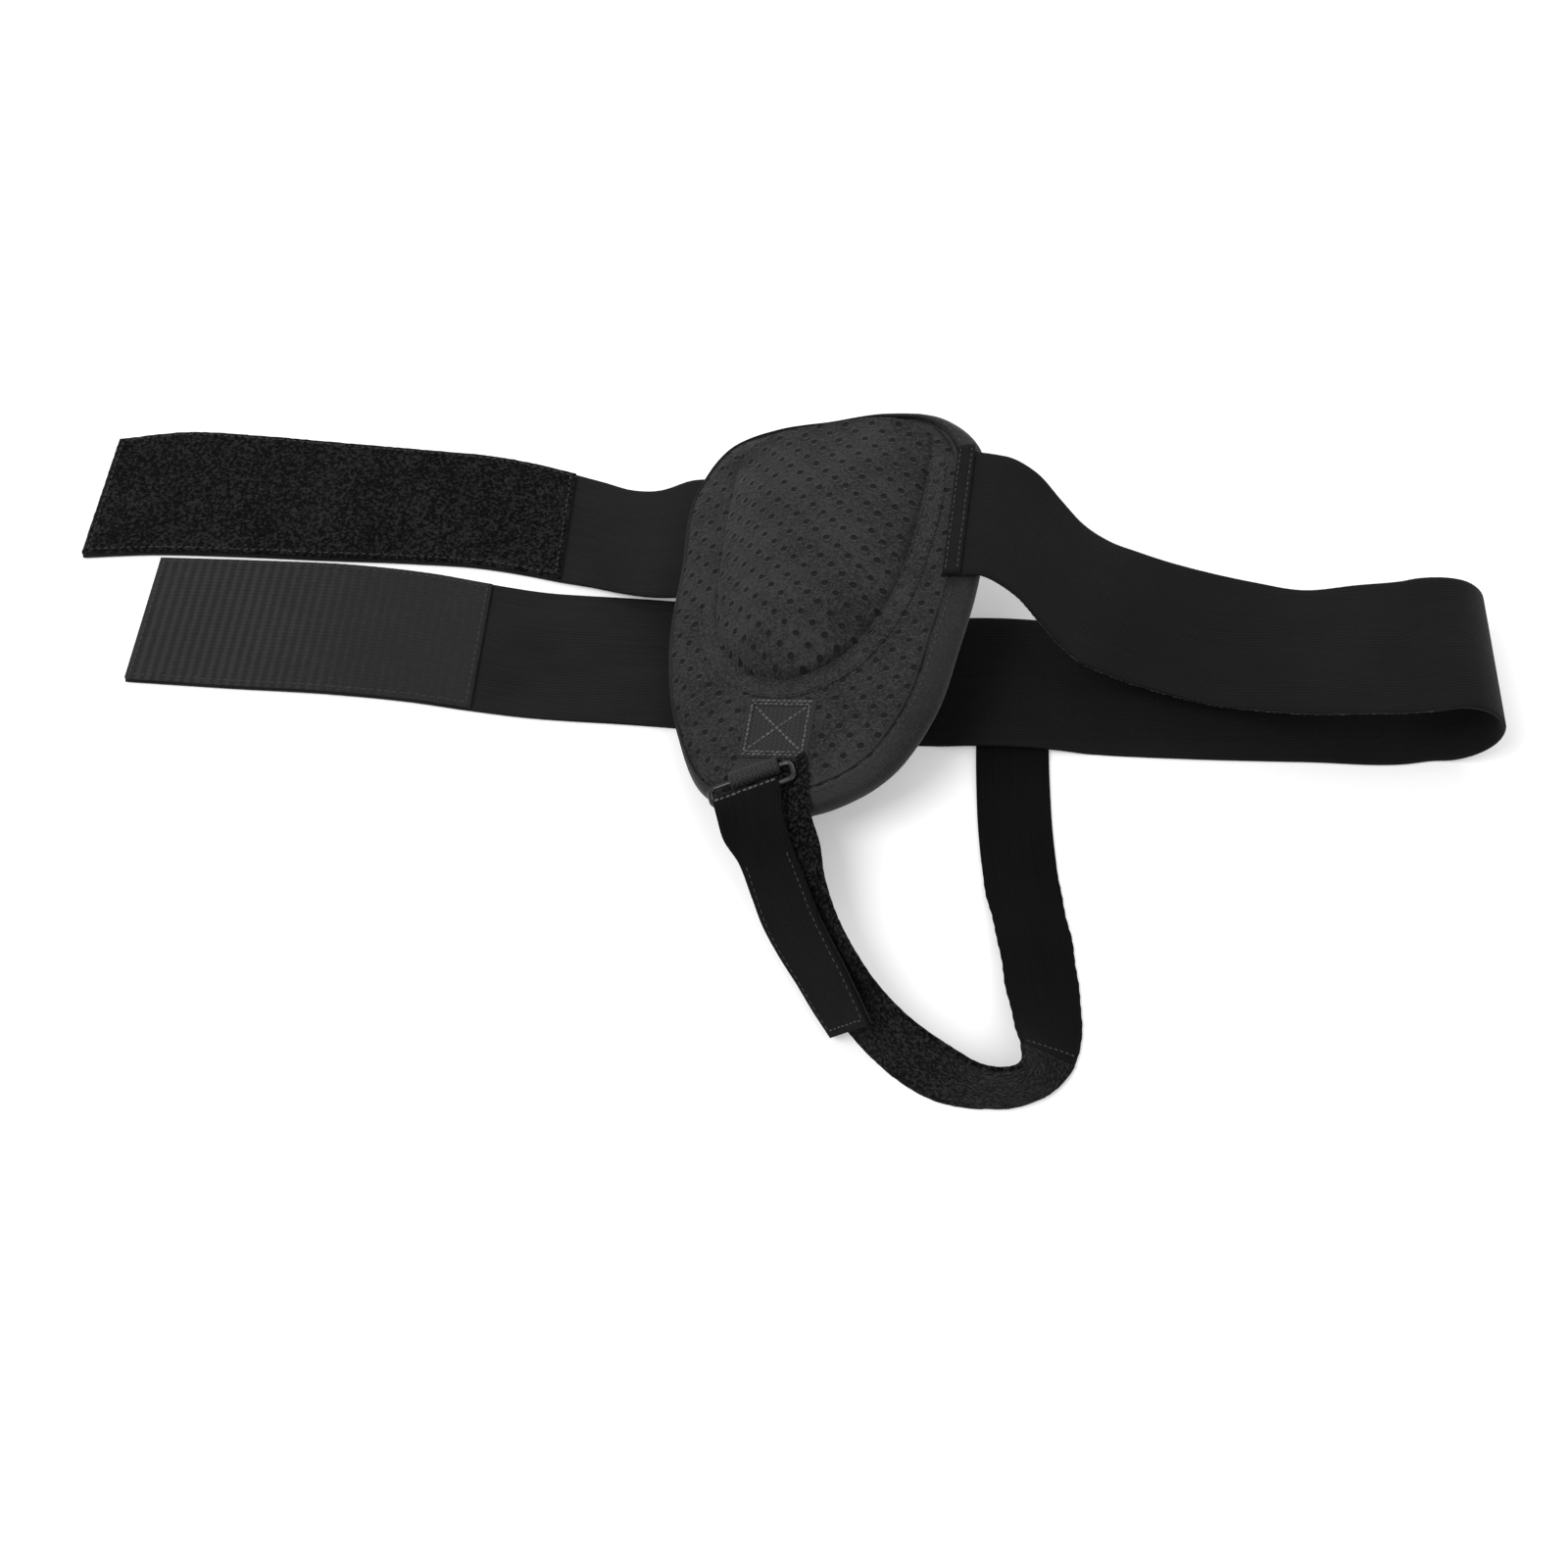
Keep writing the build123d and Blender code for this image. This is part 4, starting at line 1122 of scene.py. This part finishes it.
def build_closing_strap():
    lap_w = PAD_BACK - 0.8 - BAND_Z
    lap = [[on_shield((u, 41.0 + side, lap_w)) for side in (29, -29)] for u in (-46, -55, -64)]
    strap = Strap(lap + level_pairs(CLOSING), 2.0).face(UP, slice(-5, -4))
    piece = strap.mesh("closing_strap_band", BAND_T, columns=22)
    finish_piece(piece, ELASTIC, None, "waist_elastic", "closing_strap_lap", "closing_strap")
    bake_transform(piece)

    pile = strap.cut(len(lap) + 3)
    fuzz = np.random.default_rng(8)
    piece = pile.mesh("loop_patch_pile", 1.6, (BAND_T + 1.6) / 2, 0.6, 40,
                      lambda s, length: fuzz.uniform(-0.16, 0.16, len(s)))
    finish_piece(piece, PILE, "closing", "loop_pile", "loop_patch")
    rows = border(pile, 2.4, BAND_T / 2 + 1.65)
    sew("loop_patch_stitches", rows, 3.0, 0.72, 0.3, 18, "closing", "loop_patch_stitching", sink=0.5)


build_pad()
build_binding()
build_pocket()
build_insert()
build_tab()
build_ring()
build_leg_strap()
build_waist_band()
build_closing_strap()


# ---- floor, light and camera
def build_stage():
    mesh = bpy.data.meshes.new("floor")
    size = 8.0
    mesh.from_pydata([(-size, -size, 0), (size, -size, 0), (size, size, 0), (-size, size, 0)], [], [(0, 1, 2, 3)])
    floor = bpy.data.objects.new("floor", mesh)
    floor.location.z = -0.0004
    floor.data.materials.append(floor_material())
    bpy.context.scene.collection.objects.link(floor)


def area_light(name, place, target, size, power):
    data = bpy.data.lights.new(name, "AREA")
    data.shape = "RECTANGLE"
    data.size = size[0]
    data.size_y = size[1]
    data.energy = power
    lamp = bpy.data.objects.new(name, data)
    lamp.location = place
    lamp.rotation_mode = "QUATERNION"
    lamp.rotation_quaternion = (Vector(target) - Vector(place)).to_track_quat("-Z", "Y")
    bpy.context.scene.collection.objects.link(lamp)


def build_light():
    area_light("key", (-0.9, -0.5, 1.5), (0, 0, 0), (0.9, 0.9), 20)
    area_light("fill", (1.3, -0.6, 1.2), (0, 0, 0), (1.4, 1.4), 5)
    area_light("back", (0.2, 1.6, 1.1), (0, 0, 0), (2.0, 1.0), 14)
    world = bpy.data.worlds.new("studio")
    world.use_nodes = True
    world.node_tree.nodes["Background"].inputs[0].default_value = (1, 1, 1, 1)
    world.node_tree.nodes["Background"].inputs[1].default_value = 0.62
    bpy.context.scene.world = world
    bpy.context.scene.view_settings.view_transform = "Standard"


def build_camera():
    azimuth = math.radians(3.5)
    elevation = math.radians(60)
    distance = 0.6492
    target = world_vector((0, 0, 0))
    back = Vector((math.sin(azimuth) * math.cos(elevation), -math.cos(azimuth) * math.cos(elevation),
                   math.sin(elevation)))
    data = bpy.data.cameras.new("camera")
    data.sensor_width = 36
    data.lens = 39.1
    data.clip_start = 0.01
    camera = bpy.data.objects.new("camera", data)
    camera.location = target + back * distance
    camera.rotation_mode = "QUATERNION"
    camera.rotation_quaternion = (-back).to_track_quat("-Z", "Y")
    bpy.context.scene.collection.objects.link(camera)
    bpy.context.scene.camera = camera


build_stage()
build_light()
build_camera()
